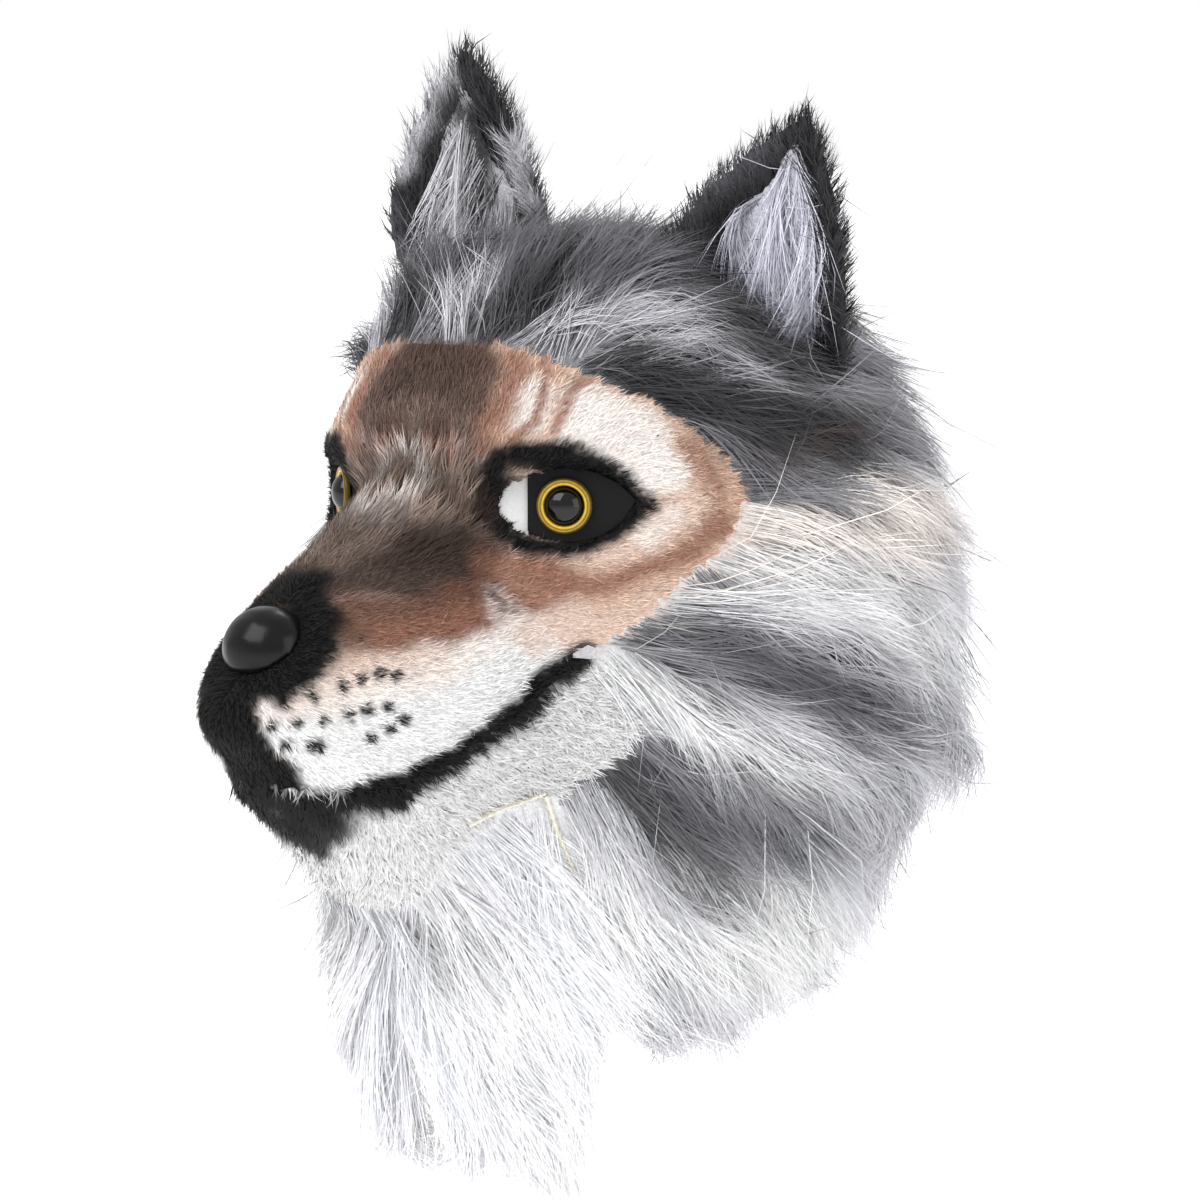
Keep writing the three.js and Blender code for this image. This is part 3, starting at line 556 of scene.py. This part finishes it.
def rebuilt(nodes, grid, name):
    """One mesh over some CAD pieces, with its facets rebuilt on a grid and without inner bubbles."""
    rough_mesh = bpy.data.meshes.new(name + "_rough")
    shape = bmesh.new()
    for node in nodes:
        shape.from_mesh(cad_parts[node].data)
    shape.to_mesh(rough_mesh)
    shape.free()
    rough = link_piece(name + "_rough", rough_mesh)
    rebuild = rough.modifiers.new("rebuild", "REMESH")
    rebuild.mode = "VOXEL"
    rebuild.voxel_size = grid
    bpy.context.view_layer.update()
    depsgraph = bpy.context.evaluated_depsgraph_get()
    mesh = bpy.data.meshes.new_from_object(rough.evaluated_get(depsgraph))
    mesh.name = name
    mesh.materials.clear()
    bpy.data.objects.remove(rough)
    drop_islands(mesh)
    return mesh


def drop_islands(mesh):
    """Keeps the largest connected stretch of the mesh."""
    shape = bmesh.new()
    shape.from_mesh(mesh)
    left = set(shape.verts)
    islands = []
    while left:
        edge = [left.pop()]
        island = list(edge)
        while edge:
            near = [link.other_vert(vert) for vert in edge for link in vert.link_edges]
            edge = list({vert for vert in near if vert in left})
            left.difference_update(edge)
            island.extend(edge)
        islands.append(island)
    islands.sort(key=len)
    spare = [vert for island in islands[:-1] for vert in island]
    bmesh.ops.delete(shape, geom=spare, context="VERTS")
    shape.to_mesh(mesh)
    shape.free()


def soften(mesh, weight, rounds):
    """Draws each vertex towards the middle of its neighbours, by its weight."""
    points = mesh_points(mesh)
    edges = np.empty(len(mesh.edges) * 2, dtype=np.int32)
    mesh.edges.foreach_get("vertices", edges)
    first, second = edges.reshape(-1, 2).T
    count = len(points)
    degree = np.bincount(edges, minlength=count)
    for _ in range(rounds):
        middle = np.empty_like(points)
        for axis in range(3):
            total = np.bincount(first, points[second, axis], count)
            total += np.bincount(second, points[first, axis], count)
            middle[:, axis] = total / degree
        points += 0.5 * weight[:, None] * (middle - points)
    mesh.vertices.foreach_set("co", points.ravel())
    mesh.update()


def relaxed(node, grid, rounds, name):
    """A piece with the place of a CAD node, its facets rebuilt on a grid and smoothed."""
    mesh = rebuilt([node], grid, name)
    soften(mesh, np.ones(len(mesh.vertices)), rounds)
    shade_smooth(mesh)
    return link_piece(name, mesh)


def mesh_points(mesh):
    places = np.empty(len(mesh.vertices) * 3)
    mesh.vertices.foreach_get("co", places)
    return places.reshape(-1, 3)


def head_skin(panels):
    """One skin over the foam and its fur panels, and for each panel the faces that are its own."""
    nodes = [FOAM_NODE] + panels
    mesh = rebuilt(nodes, SKIN_GRID, "head_skin")
    owners = []
    places, corners, first = [], [], 0
    for k, node in enumerate(nodes):
        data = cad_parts[node].data
        places.append(mesh_points(data))
        corners.append(mesh_triangles(data) + first)
        owners.append(np.full(len(corners[-1]), k))
        first += len(places[-1])
    places = np.concatenate(places)
    cad = Surface(places, places, np.concatenate(corners))
    owners = np.concatenate(owners)
    long = [k for k, node in enumerate(nodes) if node not in ("face_fur", "jaw_fur")]
    near = owners[cad.hits(mesh_points(mesh))[1]]
    soften(mesh, np.ones(len(near)), SHORT_ROUNDS)
    soften(mesh, np.isin(near, long).astype(float), LONG_ROUNDS)
    clear_pockets(mesh)
    middles = np.empty(len(mesh.polygons) * 3)
    mesh.polygons.foreach_get("center", middles)
    middles = middles.reshape(-1, 3)
    faces = owners[cad.hits(middles)[1]]
    faces[(faces == 0) & near_trim(middles)] = nodes.index("face_fur")
    return mesh, {node: np.flatnonzero(faces == k) for k, node in enumerate(nodes)}


def clear_pockets(mesh):
    """Presses the skin in behind the eye plates, so that it never covers them."""
    points = mesh_points(mesh)
    for side in ("left", "right"):
        centre, outer, first, second = disc_frame(side + "_eye_white")
        gap = points - centre
        inside = (gap @ first / POCKET_LONG) ** 2 + (gap @ second / POCKET_HIGH) ** 2 < 1
        near = np.linalg.norm(gap, axis=1) < POCKET_REACH
        depth = gap @ outer
        push = np.where(inside & near & (depth > -POCKET_DEPTH), -POCKET_DEPTH - depth, 0.0)
        points += outer * push[:, None]
    mesh.vertices.foreach_set("co", points.ravel())
    mesh.update()


def near_trim(places):
    """True where the eyes or the nose are near, which short black fur frames."""
    trim = ("left_eye_white", "right_eye_white", "nose")
    gaps = [np.linalg.norm(places - disc_frame(node)[0], axis=1) for node in trim]
    return np.min(gaps, axis=0) < POCKET_REACH


def skin_part(mesh, faces, name):
    """A piece made of some faces of the skin, and the surface that its fur grows on."""
    loops = np.empty(len(mesh.loops), dtype=np.int32)
    mesh.loops.foreach_get("vertex_index", loops)
    quads = loops.reshape(-1, 4)[faces]
    used, index = np.unique(quads, return_inverse=True)
    index = index.reshape(-1, 4)
    whole = surface_of(mesh)
    part = bpy.data.meshes.new(name)
    part.from_pydata(whole.points[used].tolist(), [], index.tolist())
    shade_smooth(part)
    triangles = np.concatenate([index[:, [0, 1, 2]], index[:, [0, 2, 3]]])
    return link_piece(name, part), Surface(whole.points[used], whole.normals[used], triangles)


def give_tint(mesh, tint):
    layer = mesh.color_attributes.new(TINT, "FLOAT_COLOR", "POINT")
    shares = np.ones((len(tint), 4), dtype=np.float32)
    shares[:, :3] = np.clip(tint, 0, 1)
    layer.data.foreach_set("color", shares.ravel())


def combed(places, normals, comb):
    """The way the fur lies at each place, along the surface."""
    near = near_side(places)
    side = np.where(places[:, :1] < 0, MIRROR, 1.0)
    facing = normals * side
    across, down = photo_place(near)
    rows = np.array(comb)
    gap = (across[:, None] - rows[:, 0]) ** 2 + (down[:, None] - rows[:, 1]) ** 2
    weight = 1 / (gap + 400.0) ** 1.6
    weight /= weight.sum(axis=1, keepdims=True)
    lie = (weight @ rows[:, 2])[:, None] * RIGHT - (weight @ rows[:, 3])[:, None] * UP
    towards = facing @ BACK
    lie = lie - ((lie * facing).sum(axis=1) / np.maximum(towards, 0.35))[:, None] * BACK
    lie = unit(lie - (lie * facing).sum(axis=1, keepdims=True) * facing)
    top = smooth_step(0.3, 0.9, facing[:, 2])[:, None]
    hidden = LIE_ON_TOP * top + LIE_ON_SIDES * (1 - top)
    hidden = unit(hidden - (hidden * facing).sum(axis=1, keepdims=True) * facing)
    seen = smooth_step(0.05, 0.35, towards)[:, None]
    return unit(lie * seen + hidden * (1 - seen)) * side


def ear_comb(places, normals, node):
    """Ear fur lies up towards the tip on the back and edges, and the tuft hangs down from its root."""
    hanging = "tuft" in node
    lie = np.tile(TUFT_LIE if hanging else EAR_LIE, (len(places), 1))
    lie[:, 0] *= np.sign(places[:, 0])
    return unit(lie - (lie * normals).sum(axis=1, keepdims=True) * normals)


def lie_of(places, normals, fur):
    if fur.comb is None:
        return ear_comb(places, normals, fur.node)
    return combed(places, normals, fur.comb)


def march(support, starts, normals, lengths, fur, chance):
    """The path of each lock's middle over the surface, rising to its lift."""
    step = lengths / MARCH_STEPS
    turn = chance.normal(scale=LOCK_TURN, size=len(starts))
    place = starts.copy()
    facing = normals.copy()
    path = [place.copy()]
    for k in range(MARCH_STEPS):
        share = (k + 1) / MARCH_STEPS
        lie = lie_of(place, facing, fur)
        lie = unit(lie + np.cross(facing, lie) * np.tan(turn)[:, None])
        guess = place + lie * step[:, None]
        spot, facing = support.nearest(guess)
        height = ((guess - spot) * facing).sum(axis=1)
        wanted = fur.lift * lengths * share ** 0.8
        rise = np.clip(wanted - height, -0.3 * step, step)
        place = guess + facing * rise[:, None]
        path.append(place.copy())
    return np.stack(path, axis=1)


def nearest_index(roots, among):
    tree = KDTree(len(among))
    for i, place in enumerate(among.tolist()):
        tree.insert(place, i)
    tree.balance()
    return np.array([tree.find(place)[1] for place in roots.tolist()])


def at_share(paths, share):
    """Points of each path at its own shares of the way."""
    steps = paths.shape[1] - 1
    place = np.clip(share, 0, 1) * steps
    low = np.minimum(place.astype(int), steps - 1)
    part = (place - low)[:, :, None]
    row = np.arange(len(paths))[:, None]
    return paths[row, low] * (1 - part) + paths[row, low + 1] * part


def gathered(roots, parents, paths, pull, count, ratio):
    """Paths that copy their nearest parent's, drawn to it towards the tip."""
    index = nearest_index(roots, parents)
    share = np.linspace(0, 1, count)[None, :] * ratio[:, None]
    line = at_share(paths[index], share)
    offset = roots - parents[index]
    hold = 1 - pull * np.linspace(0, 1, count) ** 1.3
    return line + offset[:, None, :] * hold[None, :, None]


def ribbons(name, paths, widths, facing, tint, chance):
    """One mesh of tapering ribbons that face outwards."""
    count, points = paths.shape[:2]
    along = unit(np.gradient(paths, axis=1))
    twist = unit(facing + chance.normal(scale=RIBBON_TWIST, size=facing.shape))
    side = unit(np.cross(along, twist[:, None, :]))
    taper = np.array([0.75, 1.0, 0.8, 0.5])[:points - 1] if points > 3 else np.array([1.0, 0.75])
    half = side[:, :-1] * (widths[:, None] * taper[None, :] / 2)[:, :, None]
    body = np.stack([paths[:, :-1] - half, paths[:, :-1] + half], axis=2).reshape(count, -1, 3)
    places = np.concatenate([body, paths[:, -1:]], axis=1)
    corners = places.shape[1]
    quads = [[2 * k, 2 * k + 1, 2 * k + 3, 2 * k + 2] for k in range(points - 2)]
    last = [2 * (points - 2), 2 * (points - 2) + 1, 2 * (points - 1)]
    pattern = np.array(sum(quads, []) + last)
    starts = np.array([4 * k for k in range(points - 1)])
    first = np.arange(count)[:, None]
    loops = (pattern[None, :] + first * corners).ravel()
    loop_starts = (starts[None, :] + first * len(pattern)).ravel()
    mesh = bpy.data.meshes.new(name)
    mesh.vertices.add(count * corners)
    mesh.vertices.foreach_set("co", places.ravel())
    mesh.loops.add(len(loops))
    mesh.loops.foreach_set("vertex_index", loops.astype(np.int32))
    mesh.polygons.add(len(loop_starts))
    mesh.polygons.foreach_set("loop_start", loop_starts.astype(np.int32))
    mesh.update(calc_edges=True)
    shade_smooth(mesh)
    own = np.cross(side[:, :-1], along[:, :-1])
    mix = unit(facing[:, None, :] * 0.8 + own * 0.25)
    normals = np.repeat(mix, 2, axis=1)
    normals = np.concatenate([normals, normals[:, -1:]], axis=1)
    layer = mesh.attributes.new("custom_normal", "FLOAT_VECTOR", "POINT")
    layer.data.foreach_set("vector", normals.ravel().astype(np.float32))
    share = np.repeat(np.linspace(0, 1, points)[:-1], 2)
    share = np.append(share, 1.0)
    # Painted shade: each strand is painted darker towards its root, where the fur round it would shade it.
    deep = ROOT_PAINTED_SHADE if points > 3 else PILE_ROOT_PAINTED_SHADE
    shade = deep + (1 - deep) * smooth_step(0.0, 0.45, share)
    give_tint(mesh, (tint[:, None, :] * shade[None, :, None]).reshape(-1, 3))
    return link_piece(name, mesh)


def outward(roots, normals):
    """False on the inner side of what hangs below the foam's rim."""
    level = roots * [1, 1, 0] + [0, 0.03, 0]
    faces_out = (unit(level) * normals).sum(axis=1) > 0.0
    return (roots[:, 2] > FOAM_RIM) | faces_out


def parted(roots):
    """True where a root is clear of the open seams."""
    across, down = photo_place(near_side(roots))
    gap = np.min([line_distance(across, down, seam.points) for seam in SEAMS], axis=0)
    return gap > SEAM_PARTING


def scaled_lengths(roots, fur):
    lengths = np.full(len(roots), fur.length) * (1 + 0.18 * ripple(roots, 0.02, 9))
    if fur.comb is not None:
        across, down = photo_place(near_side(roots))
        for spot in FACE_SPOTS if fur.name == "face_pile" else LONG_SPOTS:
            reach = np.hypot(across - spot.across, down - spot.down)
            cover = 1 - smooth_step(0.5 * spot.reach, spot.reach, reach)
            lengths *= 1 + (spot.times - 1) * cover
    return lengths


def odd_hairs(tint, fur, chance):
    """Varies the strands, with the shares of dark and light hairs that the fur has."""
    count = len(tint)
    pick = chance.uniform(size=count)
    times = chance.normal(1.0, 0.10, count)
    times = np.where(pick < fur.dark, times * DARK_TIMES, times)
    times = np.where(pick > 1 - fur.light, times * LIGHT_TIMES, times)
    bright = smooth_step(0.35, 0.75, tint.mean(axis=1))
    times = times * (1 - bright) + (0.75 * times + 0.25) * bright
    times = np.where(bright > 0.5, np.clip(times, 0.6, 1.1), times)
    return tint * np.clip(times, 0.3, 1.7)[:, None]


def kept_in(strands):
    """The strands with their tips held inside the room that fabric has round the CAD box."""
    low, high = (np.array(corner) for corner in cad_box)
    room = FABRIC_SHARE * (high - low) + FABRIC_ROOM
    return np.clip(strands, low - room, high + room)


def grow(fur, ground, support, seed):
    """The strands of one stretch of fur, gathered in tufts and the tufts in locks."""
    chance = np.random.default_rng(seed)
    roots, normals = ground.roots(3 * fur.strands, chance)
    if fur.comb is not None:
        keep = outward(roots, normals) & parted(roots)
        roots, normals = roots[keep], normals[keep]
    roots, normals = roots[:fur.strands], normals[:fur.strands]
    count = len(roots)
    locks = lock_count(ground, fur)
    lengths = scaled_lengths(roots[:locks], fur)
    paths = march(support, roots[:locks], normals[:locks], lengths, fur, chance)
    tuft_count = min(count, locks * TUFTS_IN_LOCK)
    tufts = roots[:tuft_count]
    middle = gathered(tufts, roots[:locks], paths, fur.pull, MARCH_STEPS + 1, np.ones(tuft_count))
    bend = chance.normal(scale=TUFT_BEND * fur.stray * fur.length, size=(tuft_count, 1, 3))
    middle += bend * np.linspace(0, 1, MARCH_STEPS + 1)[None, :, None] ** 1.5
    strands = gathered(roots, tufts, middle, fur.pull, fur.parts + 1, chance.uniform(0.55, 1.0, count))
    wander = chance.normal(scale=STRAND_BEND * fur.stray * fur.length, size=(count, 1, 3))
    wander *= np.where(chance.uniform(size=count) < FLYAWAY_SHARE, FLYAWAY_TIMES, 1.0)[:, None, None]
    strands += wander * np.linspace(0, 1, fur.parts + 1)[None, :, None] ** 1.6
    strands = kept_in(strands)
    seen_at = strands[:, -2] if is_long(fur) else strands[:, 0]
    tint = odd_hairs(painted(seen_at, fur), fur, chance)
    widths = fur.width * chance.uniform(0.7, 1.25, count)
    return ribbons(fur.name, strands, widths, normals, tint, chance)


def lock_count(ground, fur):
    """As many locks as the spacing asks for."""
    area = ground.double_areas().sum() / 2
    return max(40, int(area / fur.spacing ** 2))


def node_material(name, roughness, specular=0.5, metallic=0.0, coat=0.0, sheen=0.0):
    material = bpy.data.materials.new(name)
    material.use_nodes = True
    shader = material.node_tree.nodes["Principled BSDF"]
    shader.inputs["Roughness"].default_value = roughness
    shader.inputs["Specular IOR Level"].default_value = specular
    shader.inputs["Metallic"].default_value = metallic
    shader.inputs["Coat Weight"].default_value = coat
    shader.inputs["Sheen Weight"].default_value = sheen
    return material, material.node_tree, shader


def speckle(tree, scale, detail=3.0):
    """Noise of the object's own space."""
    place = tree.nodes.new("ShaderNodeTexCoord")
    noise = tree.nodes.new("ShaderNodeTexNoise")
    noise.inputs["Scale"].default_value = scale
    noise.inputs["Detail"].default_value = detail
    tree.links.new(place.outputs["Object"], noise.inputs["Vector"])
    return noise.outputs["Fac"]


def varied(tree, fac, colour, low, high):
    """The colour times a share between low and high that follows the noise."""
    spread = tree.nodes.new("ShaderNodeMapRange")
    spread.inputs["From Min"].default_value = 0.3
    spread.inputs["From Max"].default_value = 0.7
    spread.inputs["To Min"].default_value = low
    spread.inputs["To Max"].default_value = high
    tree.links.new(fac, spread.inputs["Value"])
    times = tree.nodes.new("ShaderNodeVectorMath")
    times.operation = "SCALE"
    tree.links.new(colour, times.inputs["Vector"])
    tree.links.new(spread.outputs["Result"], times.inputs["Scale"])
    return times.outputs["Vector"]


def bumped(tree, shader, fac, strength, distance):
    bump = tree.nodes.new("ShaderNodeBump")
    bump.inputs["Strength"].default_value = strength
    bump.inputs["Distance"].default_value = distance
    tree.links.new(fac, bump.inputs["Height"])
    tree.links.new(bump.outputs["Normal"], shader.inputs["Normal"])


def painted_tint(tree):
    """The colour painted on the piece."""
    tint = tree.nodes.new("ShaderNodeAttribute")
    tint.attribute_name = TINT
    return tint.outputs["Color"]


def fur_material(name, roughness, sheen):
    """Strands take their colour from the tint painted on them, with a fine unevenness."""
    material, tree, shader = node_material(name, roughness, specular=0.25, sheen=sheen)
    fac = speckle(tree, 420.0)
    tree.links.new(varied(tree, fac, painted_tint(tree), 0.86, 1.12), shader.inputs["Base Color"])
    return material


def backing_material(name):
    """The knitted backing and the thick underfur on it, seen between the strands."""
    material, tree, shader = node_material(name, 0.95, specular=0.1)
    fac = speckle(tree, 700.0, 6.0)
    tree.links.new(varied(tree, fac, painted_tint(tree), 0.75, 1.05), shader.inputs["Base Color"])
    bumped(tree, shader, fac, 0.8, 0.002)
    return material


def tinted_material(name, roughness, specular):
    """Enamel that takes the tint painted on it."""
    material, tree, shader = node_material(name, roughness, specular=specular)
    fac = speckle(tree, 500.0)
    tree.links.new(varied(tree, fac, painted_tint(tree), 0.85, 1.1), shader.inputs["Base Color"])
    return material


def mottled_material(name, colour, scale, low, high, roughness, bump=0.0, coat=0.0, specular=0.5):
    material, tree, shader = node_material(name, roughness, specular=specular, coat=coat)
    fac = speckle(tree, scale)
    light = tree.nodes.new("ShaderNodeRGB")
    light.outputs[0].default_value = (*linear(colour), 1.0)
    tree.links.new(varied(tree, fac, light.outputs[0], low, high), shader.inputs["Base Color"])
    if bump:
        bumped(tree, shader, fac, bump, 0.0006)
    return material


def dress(piece, material, slot, *nodes):
    piece.data.materials.clear()
    piece.data.materials.append(material)
    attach(piece, "root")
    if nodes:
        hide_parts(*nodes)


def make_furs():
    backing = backing_material("fur_backing")
    long_hair = fur_material("long_strands", 0.70, 0.05)
    short_hair = fur_material("short_pile", 0.80, 0.05)
    panels = [fur.node for fur in FURS if fur.comb is not None]
    skin_mesh, faces = head_skin(panels)
    skin = surface_of(skin_mesh)
    foam, _ = skin_part(skin_mesh, faces[FOAM_NODE], "foam_head")
    foam_cloth = mottled_material("foam", (0.90, 0.86, 0.78), 900.0, 0.85, 1.05, 0.9, bump=0.7)
    dress(foam, foam_cloth, "foam", FOAM_NODE)
    for seed, fur in enumerate(FURS):
        if fur.comb is not None:
            piece, ground = skin_part(skin_mesh, faces[fur.node], fur.node + "_backing")
            support = skin
        else:
            piece = relaxed(fur.node, EAR_GRID, SHORT_ROUNDS, fur.node + "_backing")
            ground = support = surface_of(piece.data)
        # Painted shade: the backing takes the fur's colours, painted darker as if shaded by the strands over
        # it.
        give_tint(piece.data, painted(mesh_points(piece.data), fur) * BACKING_PAINTED_SHADE)
        strands = grow(fur, ground, support, 100 + seed)
        dress(piece, backing, fur.slot, fur.node)
        dress(strands, long_hair if is_long(fur) else short_hair, fur.slot)
    edges = make_seams(skin)
    seam_cloth = mottled_material("seam_cloth", (0.92, 0.90, 0.84), 1200.0, 0.75, 1.05, 0.9, bump=0.4)
    dress(edges, seam_cloth, "jaw_plush")


def seam_path(skin, seam):
    """Places along a seam of the near side, and the way that the skin faces there."""
    line = np.array(seam.points, dtype=float)
    steps = np.linspace(0, len(line) - 1, SEAM_STEPS * (len(line) - 1) + 1)
    across = np.interp(steps, np.arange(len(line)), line[:, 0])
    down = np.interp(steps, np.arange(len(line)), line[:, 1])
    eye = AIM + BACK * VIEW_DISTANCE
    places, facing = [], []
    for u, v in zip(across, down):
        ray = unit(((u - PHOTO_CENTRE) * RIGHT + (PHOTO_CENTRE - v) * UP) * PIXEL - BACK * VIEW_DISTANCE)
        spot, normal, _, _ = skin.tree.ray_cast(eye.tolist(), ray.tolist())
        if spot is not None:
            places.append(spot)
            facing.append(normal)
    return np.array(places), unit(np.array(facing))


def make_seams(skin):
    """Raw cloth edges along the open seams, on both sides of the head."""
    points, faces = [], []
    for seam in SEAMS:
        if not seam.shown:
            continue
        places, facing = seam_path(skin, seam)
        side = unit(np.cross(np.gradient(places, axis=0), facing))
        ragged = 1 + 0.35 * np.sin(np.arange(len(places)) * 2.4)[:, None]
        for mirror in (np.ones(3), MIRROR):
            first = len(points)
            for reach, height in SEAM_SECTION:
                row = places + side * seam.width * reach * ragged + facing * height
                points.extend((row * mirror).tolist())
            count = len(places)
            for r in range(len(SEAM_SECTION) - 1):
                for k in range(count - 1):
                    a = first + r * count + k
                    faces.append((a, a + 1, a + 1 + count, a + count))
    mesh = bpy.data.meshes.new("seam_edges")
    mesh.from_pydata(points, [], faces)
    return link_piece("seam_edges", mesh)


def disc_frame(node):
    """Centre, outward axis and two side axes of a flat round CAD piece."""
    places = mesh_points(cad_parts[node].data)
    centre = (places.min(axis=0) + places.max(axis=0)) / 2
    _, _, axes = np.linalg.svd(places - places.mean(axis=0), full_matrices=False)
    outer = axes[2] * (-1 if axes[2][1] > 0 else 1)
    first = unit(np.cross([0.0, 0.0, 1.0], outer))
    return centre, outer, first, np.cross(outer, first)


def turned_piece(name, node, profile, capped, sides=48):
    """A round piece turned about a CAD piece's axis, closed in itself or by two caps."""
    centre, outer, first, second = disc_frame(node)
    places = mesh_points(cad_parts[node].data)
    base = ((places - centre) @ outer).min()
    rows = len(profile)
    points, faces, tint = [], [], []
    for row in profile:
        for k in range(sides):
            angle = 2 * math.pi * k / sides
            reach = first * math.cos(angle) + second * math.sin(angle)
            points.append(centre + outer * (base + row.height) + reach * row.radius)
            tint.append(linear(PALETTE[row.colour]))
    for r in range(rows - 1):
        for k in range(sides):
            a = r * sides + k
            b = r * sides + (k + 1) % sides
            faces.append((a, b, b + sides, a + sides))
    if capped:
        faces.append(tuple(range(sides))[::-1])
        faces.append(tuple(range((rows - 1) * sides, rows * sides)))
    mesh = bpy.data.meshes.new(name)
    mesh.from_pydata([tuple(p) for p in points], [], faces)
    shade_smooth(mesh)
    give_tint(mesh, np.array(tint))
    return link_piece(name, mesh)


def plate_material(name, side):
    """One printed plate: white on the nose's side of a straight edge, and black beyond it."""
    material, tree, shader = node_material(name, 0.55, specular=0.15)
    centre, _, first, _ = disc_frame(side + "_eye_ring")
    to_nose = first * -np.sign(centre[0])
    place = tree.nodes.new("ShaderNodeTexCoord")
    reach = tree.nodes.new("ShaderNodeVectorMath")
    reach.operation = "DOT_PRODUCT"
    reach.inputs[1].default_value = to_nose
    tree.links.new(place.outputs["Object"], reach.inputs[0])
    edge = tree.nodes.new("ShaderNodeMapRange")
    edge.inputs["From Min"].default_value = centre @ to_nose + WHITE_FROM - WHITE_EDGE
    edge.inputs["From Max"].default_value = centre @ to_nose + WHITE_FROM + WHITE_EDGE
    tree.links.new(reach.outputs["Value"], edge.inputs["Value"])
    mix = tree.nodes.new("ShaderNodeMix")
    mix.data_type = "RGBA"
    mix.inputs["A"].default_value = (*linear(PALETTE["black"]), 1.0)
    mix.inputs["B"].default_value = (*linear(PALETTE["enamel"]), 1.0)
    tree.links.new(edge.outputs["Result"], mix.inputs["Factor"])
    fac = speckle(tree, 900.0)
    tree.links.new(varied(tree, fac, mix.outputs["Result"], 0.92, 1.03), shader.inputs["Base Color"])
    return material


def make_eyes():
    gold = tinted_material("gold_enamel", 0.32, 0.3)
    glass = mottled_material(
        "pupil_glass", (0.03, 0.03, 0.035), 300.0, 0.8, 1.2, 0.06, specular=0.35)
    patch = mottled_material(
        "eye_felt", (0.05, 0.05, 0.055), 1500.0, 0.7, 1.2, 0.6, bump=0.3, specular=0.15)
    dome = [RingRow(DOME_RADIUS * math.cos(a), DOME_FOOT + DOME_HEIGHT * math.sin(a), "black")
            for a in np.linspace(0.0, DOME_END, DOME_ROWS)]
    for side in ("left", "right"):
        ring = turned_piece(side + "_eye_gold_ring", side + "_eye_ring", RING, capped=False)
        dress(ring, gold, "eye_gold", side + "_eye_ring")
        pupil = turned_piece(side + "_eye_dome", side + "_pupil", dome, capped=True)
        dress(pupil, glass, "pupil_black", side + "_pupil")
        plate = plate_material(side + "_eye_plate", side)
        for node, material in ((side + "_eye_white", plate), (side + "_eye_patch", patch)):
            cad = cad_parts[node]
            cad.data.materials.clear()
            cad.data.materials.append(material)


def make_nose():
    nose = relaxed("nose", 0.0016, 8, "nose_dome")
    vinyl = mottled_material(
        "nose_vinyl", (0.05, 0.048, 0.052), 260.0, 0.8, 1.2, 0.24, bump=0.15, specular=0.2)
    dress(nose, vinyl, "nose_black", "nose")


def make_stage():
    mesh = bpy.data.meshes.new("floor")
    half = FLOOR_SIZE / 2
    mesh.from_pydata([(-half, -half, FLOOR_HEIGHT), (half, -half, FLOOR_HEIGHT), (half, half, FLOOR_HEIGHT),
                      (-half, half, FLOOR_HEIGHT)], [], [(0, 1, 2, 3)])
    floor = link_piece("floor", mesh)
    material, tree, shader = node_material("floor", 0.9)
    shader.inputs["Base Color"].default_value = (0.95, 0.95, 0.95, 1.0)
    shader.inputs["Emission Color"].default_value = (1.0, 1.0, 1.0, 1.0)
    shader.inputs["Emission Strength"].default_value = FLOOR_GLOW
    mesh.materials.append(material)


def aim_rotation(direction):
    return Vector(direction).to_track_quat("-Z", "Y").to_euler()


def make_light(lamp):
    light = bpy.data.lights.new(lamp.name, "AREA")
    light.size = lamp.size
    light.energy = lamp.power
    piece = link_piece(lamp.name, light)
    direction = lamp.back * BACK + lamp.right * RIGHT + lamp.up * UP
    place = AIM + unit(direction) * lamp.distance
    piece.location = place
    piece.rotation_euler = aim_rotation(AIM - place)


def make_lights():
    """A white studio, which the camera sees brighter than it lights the mask."""
    world = bpy.data.worlds.new("studio")
    world.use_nodes = True
    tree = world.node_tree
    shade = tree.nodes["Background"]
    shade.inputs["Color"].default_value = (1.0, 1.0, 1.0, 1.0)
    path = tree.nodes.new("ShaderNodeLightPath")
    spread = tree.nodes.new("ShaderNodeMapRange")
    spread.inputs["To Min"].default_value = WORLD_LIGHT
    spread.inputs["To Max"].default_value = WORLD_SEEN
    tree.links.new(path.outputs["Is Camera Ray"], spread.inputs["Value"])
    tree.links.new(spread.outputs["Result"], shade.inputs["Strength"])
    bpy.context.scene.world = world
    for lamp in LAMPS:
        make_light(lamp)


def make_camera():
    data = bpy.data.cameras.new("camera")
    data.sensor_width = SENSOR_WIDTH
    data.lens = SENSOR_WIDTH * VIEW_DISTANCE / (2 * PHOTO_CENTRE * PIXEL)
    camera = link_piece("camera", data)
    camera.location = AIM + BACK * VIEW_DISTANCE
    camera.rotation_euler = aim_rotation(-BACK)
    bpy.context.scene.camera = camera


make_camera()
make_furs()
make_eyes()
make_nose()
make_stage()
make_lights()
bpy.context.scene.view_settings.view_transform = "Standard"
